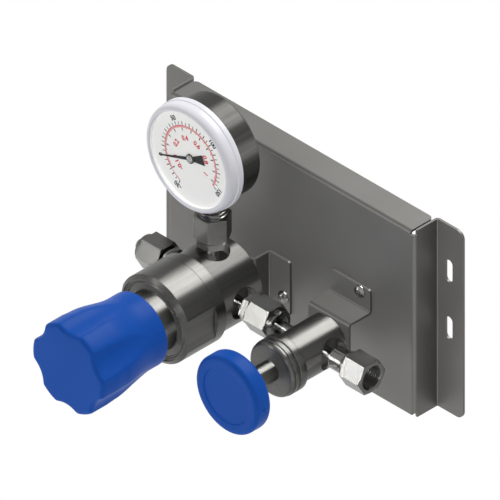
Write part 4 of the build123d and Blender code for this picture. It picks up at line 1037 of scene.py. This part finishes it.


# Springs and diaphragms, each copied from its node into a piece with a mesh of its own

followerNames = {
    "range_spring": ("spring_seat_slide", "range_coil"),
    "poppet_spring": ("poppet_slide", "poppet_coil"),
    "diaphragm": ("poppet_slide", "diaphragm_disc"),
    "valve_diaphragm": ("valve_button_slide", "valve_diaphragm_disc"),
}


def makeFollowers():
    slots = {subpart["node"]: subpart["material_slot"] for subpart in frame["record"]["subparts"]}
    for node, (jointName, name) in followerNames.items():
        shape = bmesh.new()
        shape.from_mesh(frame["nodes"][node].data)
        weld(shape)
        piece = addPiece(shape, name, slots[node], "panel", replaced=[node])
        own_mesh(piece)


makeFollowers()
print("springs and diaphragms made")


# Studio

camera = {
    "target": (7.67, -60.0, 13.97),  # mm, the point in the middle of the picture
    "direction": (-1, 1, -1),
    "distance": 1.2,
    "width": 0.27778,
    "clip": (0.01, 20),
}
lamps = {
    "frontBox": {
        "from": (80, -49, -36), "direction": (-0.577, -0.789, 0.211), "size": (0.17, 0.4), "power": 2.2,
    },
    "topStrip": {
        "from": (-10, -70, -20), "direction": (0.03, 0.577, 0.815), "size": (0.8, 0.3), "power": 12,
    },
    "topGloss": {
        "from": (-10, -70, -20), "direction": (-0.06, 0.577, 0.815), "size": (1.05, 0.3), "power": 10.5,
        "glossOnly": True,
        "lights": ("cap_ring_nut", "bonnet", "valve_body", "valve_stem", "valve_ring_nut"),
    },
    "nutGloss": {
        "from": (0, -50, -36), "direction": (-0.577, 0.577, 0.577), "size": (0.6, 0.6), "power": 0.9,
        "glossOnly": True,
        "lights": ("link_hex_nut", "outlet_hex_nut", "male_hex_nuts", "valve_body", "bonnet"),
    },
    "sideGloss": {
        "from": (0, -50, -36), "direction": (0.78, 0.577, -0.24), "size": (0.8, 0.5), "power": 1.8,
        "glossOnly": True, "lights": ("regulator_body", "valve_body", "bonnet"),
    },
    "caseGloss": {
        "from": (-33, -60, 59), "direction": (0.81, 0.577, 0.03), "size": (0.5, 0.5), "power": 3,
        "glossOnly": True, "lights": ("gauge_case",),
    },
    "bevelSpark": {
        "from": (-20, -96, -20), "direction": (0.488, -0.813, 0.316), "size": (0.25, 0.25), "power": 1.2,
        "glossOnly": True,
    },
    "rightFill": {
        "from": (0, -50, 0), "direction": (0.8, -0.45, -0.3), "size": (1.0, 1.0), "power": 3,
    },
    "lowFill": {
        "from": (0, -50, 0), "direction": (-0.577, -0.577, -0.577), "size": (1.2, 1.2), "power": 2.5,
    },
}
lampDistance = 1.1
studioFloor = {
    "halfWidth": 6,
    "drop": 0.35,
    "colour": (0.8, 0.8, 0.8),
    "roughness": 0.9,
}
worldGlow = 0.5


def placeCamera():
    data = bpy.data.cameras.new("photo_camera")
    data.type = "ORTHO"
    data.ortho_scale = camera["width"]
    data.clip_start, data.clip_end = camera["clip"]
    holder = addObject("photo_camera", data)
    ahead = Vector(camera["direction"]).normalized()
    holder.location = Vector(camera["target"]) * mm - ahead * camera["distance"]
    holder.rotation_euler = ahead.to_track_quat("-Z", "Y").to_euler()
    bpy.context.scene.camera = holder


def placeLamps():
    for name, facts in lamps.items():
        data = bpy.data.lights.new(name, "AREA")
        data.shape = "RECTANGLE"
        data.size, data.size_y = facts["size"]
        data.energy = facts["power"]
        data.use_shadow = False  # soft fill that reaches behind the knob and the handwheel
        data.cycles.use_multiple_importance_sampling = False
        holder = addObject(name, data)
        holder.visible_diffuse = not facts.get("glossOnly", False)
        if "lights" in facts:
            reached = bpy.data.collections.new(name)  # the only pieces that this lamp reaches
            for piece in facts["lights"]:
                reached.objects.link(frame["nodes"].get(piece) or bpy.data.objects[piece])
            holder.light_linking.receiver_collection = reached
        towards = Vector(facts["direction"]).normalized()
        holder.location = Vector(facts["from"]) * mm + towards * lampDistance
        holder.rotation_euler = (-towards).to_track_quat("-Z", "Y").to_euler()


def seenDirectly(tree):
    # 1 for rays from the camera, in a reflection or through glass
    path = tree.nodes.new("ShaderNodeLightPath")
    first = tree.nodes.new("ShaderNodeMath")
    first.operation = "MAXIMUM"
    second = tree.nodes.new("ShaderNodeMath")
    second.operation = "MAXIMUM"
    tree.links.new(path.outputs["Is Camera Ray"], first.inputs[0])
    tree.links.new(path.outputs["Is Glossy Ray"], first.inputs[1])
    tree.links.new(first.outputs[0], second.inputs[0])
    tree.links.new(path.outputs["Is Transmission Ray"], second.inputs[1])
    return second.outputs[0]


def whiteWorld():
    world = bpy.data.worlds.new("white_studio")
    bpy.context.scene.world = world
    world.use_nodes = True
    tree = world.node_tree
    glow = tree.nodes["Background"]
    glow.inputs["Color"].default_value = (1, 1, 1, 1)
    strength = tree.nodes.new("ShaderNodeMapRange")
    strength.inputs["To Min"].default_value = worldGlow
    strength.inputs["To Max"].default_value = 1.0
    tree.links.new(seenDirectly(tree), strength.inputs["Value"])
    tree.links.new(strength.outputs["Result"], glow.inputs["Strength"])
    world.cycles.sampling_method = "NONE"


def whiteFloor():
    # A pale floor well below the panel, white where it is seen
    facts = studioFloor
    shape = bmesh.new()
    bmesh.ops.create_grid(shape, x_segments=1, y_segments=1, size=facts["halfWidth"])
    mesh = bpy.data.meshes.new("studio_floor")
    shape.to_mesh(mesh)
    shape.free()
    mesh.transform(Matrix.Translation((0, 0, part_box("mounting_panel")[0][2] - facts["drop"])))
    floor = addObject("studio_floor", mesh)
    material = bpy.data.materials.new("pale_floor")
    material.use_nodes = True
    tree = material.node_tree
    matt = tree.nodes["Principled BSDF"]
    matt.inputs["Base Color"].default_value = (*facts["colour"], 1)
    matt.inputs["Roughness"].default_value = facts["roughness"]
    glow = tree.nodes.new("ShaderNodeEmission")
    mix = tree.nodes.new("ShaderNodeMixShader")
    tree.links.new(seenDirectly(tree), mix.inputs["Fac"])
    tree.links.new(matt.outputs["BSDF"], mix.inputs[1])
    tree.links.new(glow.outputs["Emission"], mix.inputs[2])
    tree.links.new(mix.outputs["Shader"], tree.nodes["Material Output"].inputs["Surface"])
    material.cycles.emission_sampling = "NONE"
    mesh.materials.append(material)


placeCamera()
placeLamps()
whiteWorld()
whiteFloor()
bpy.context.scene.view_settings.view_transform = "Standard"
print("studio ready")
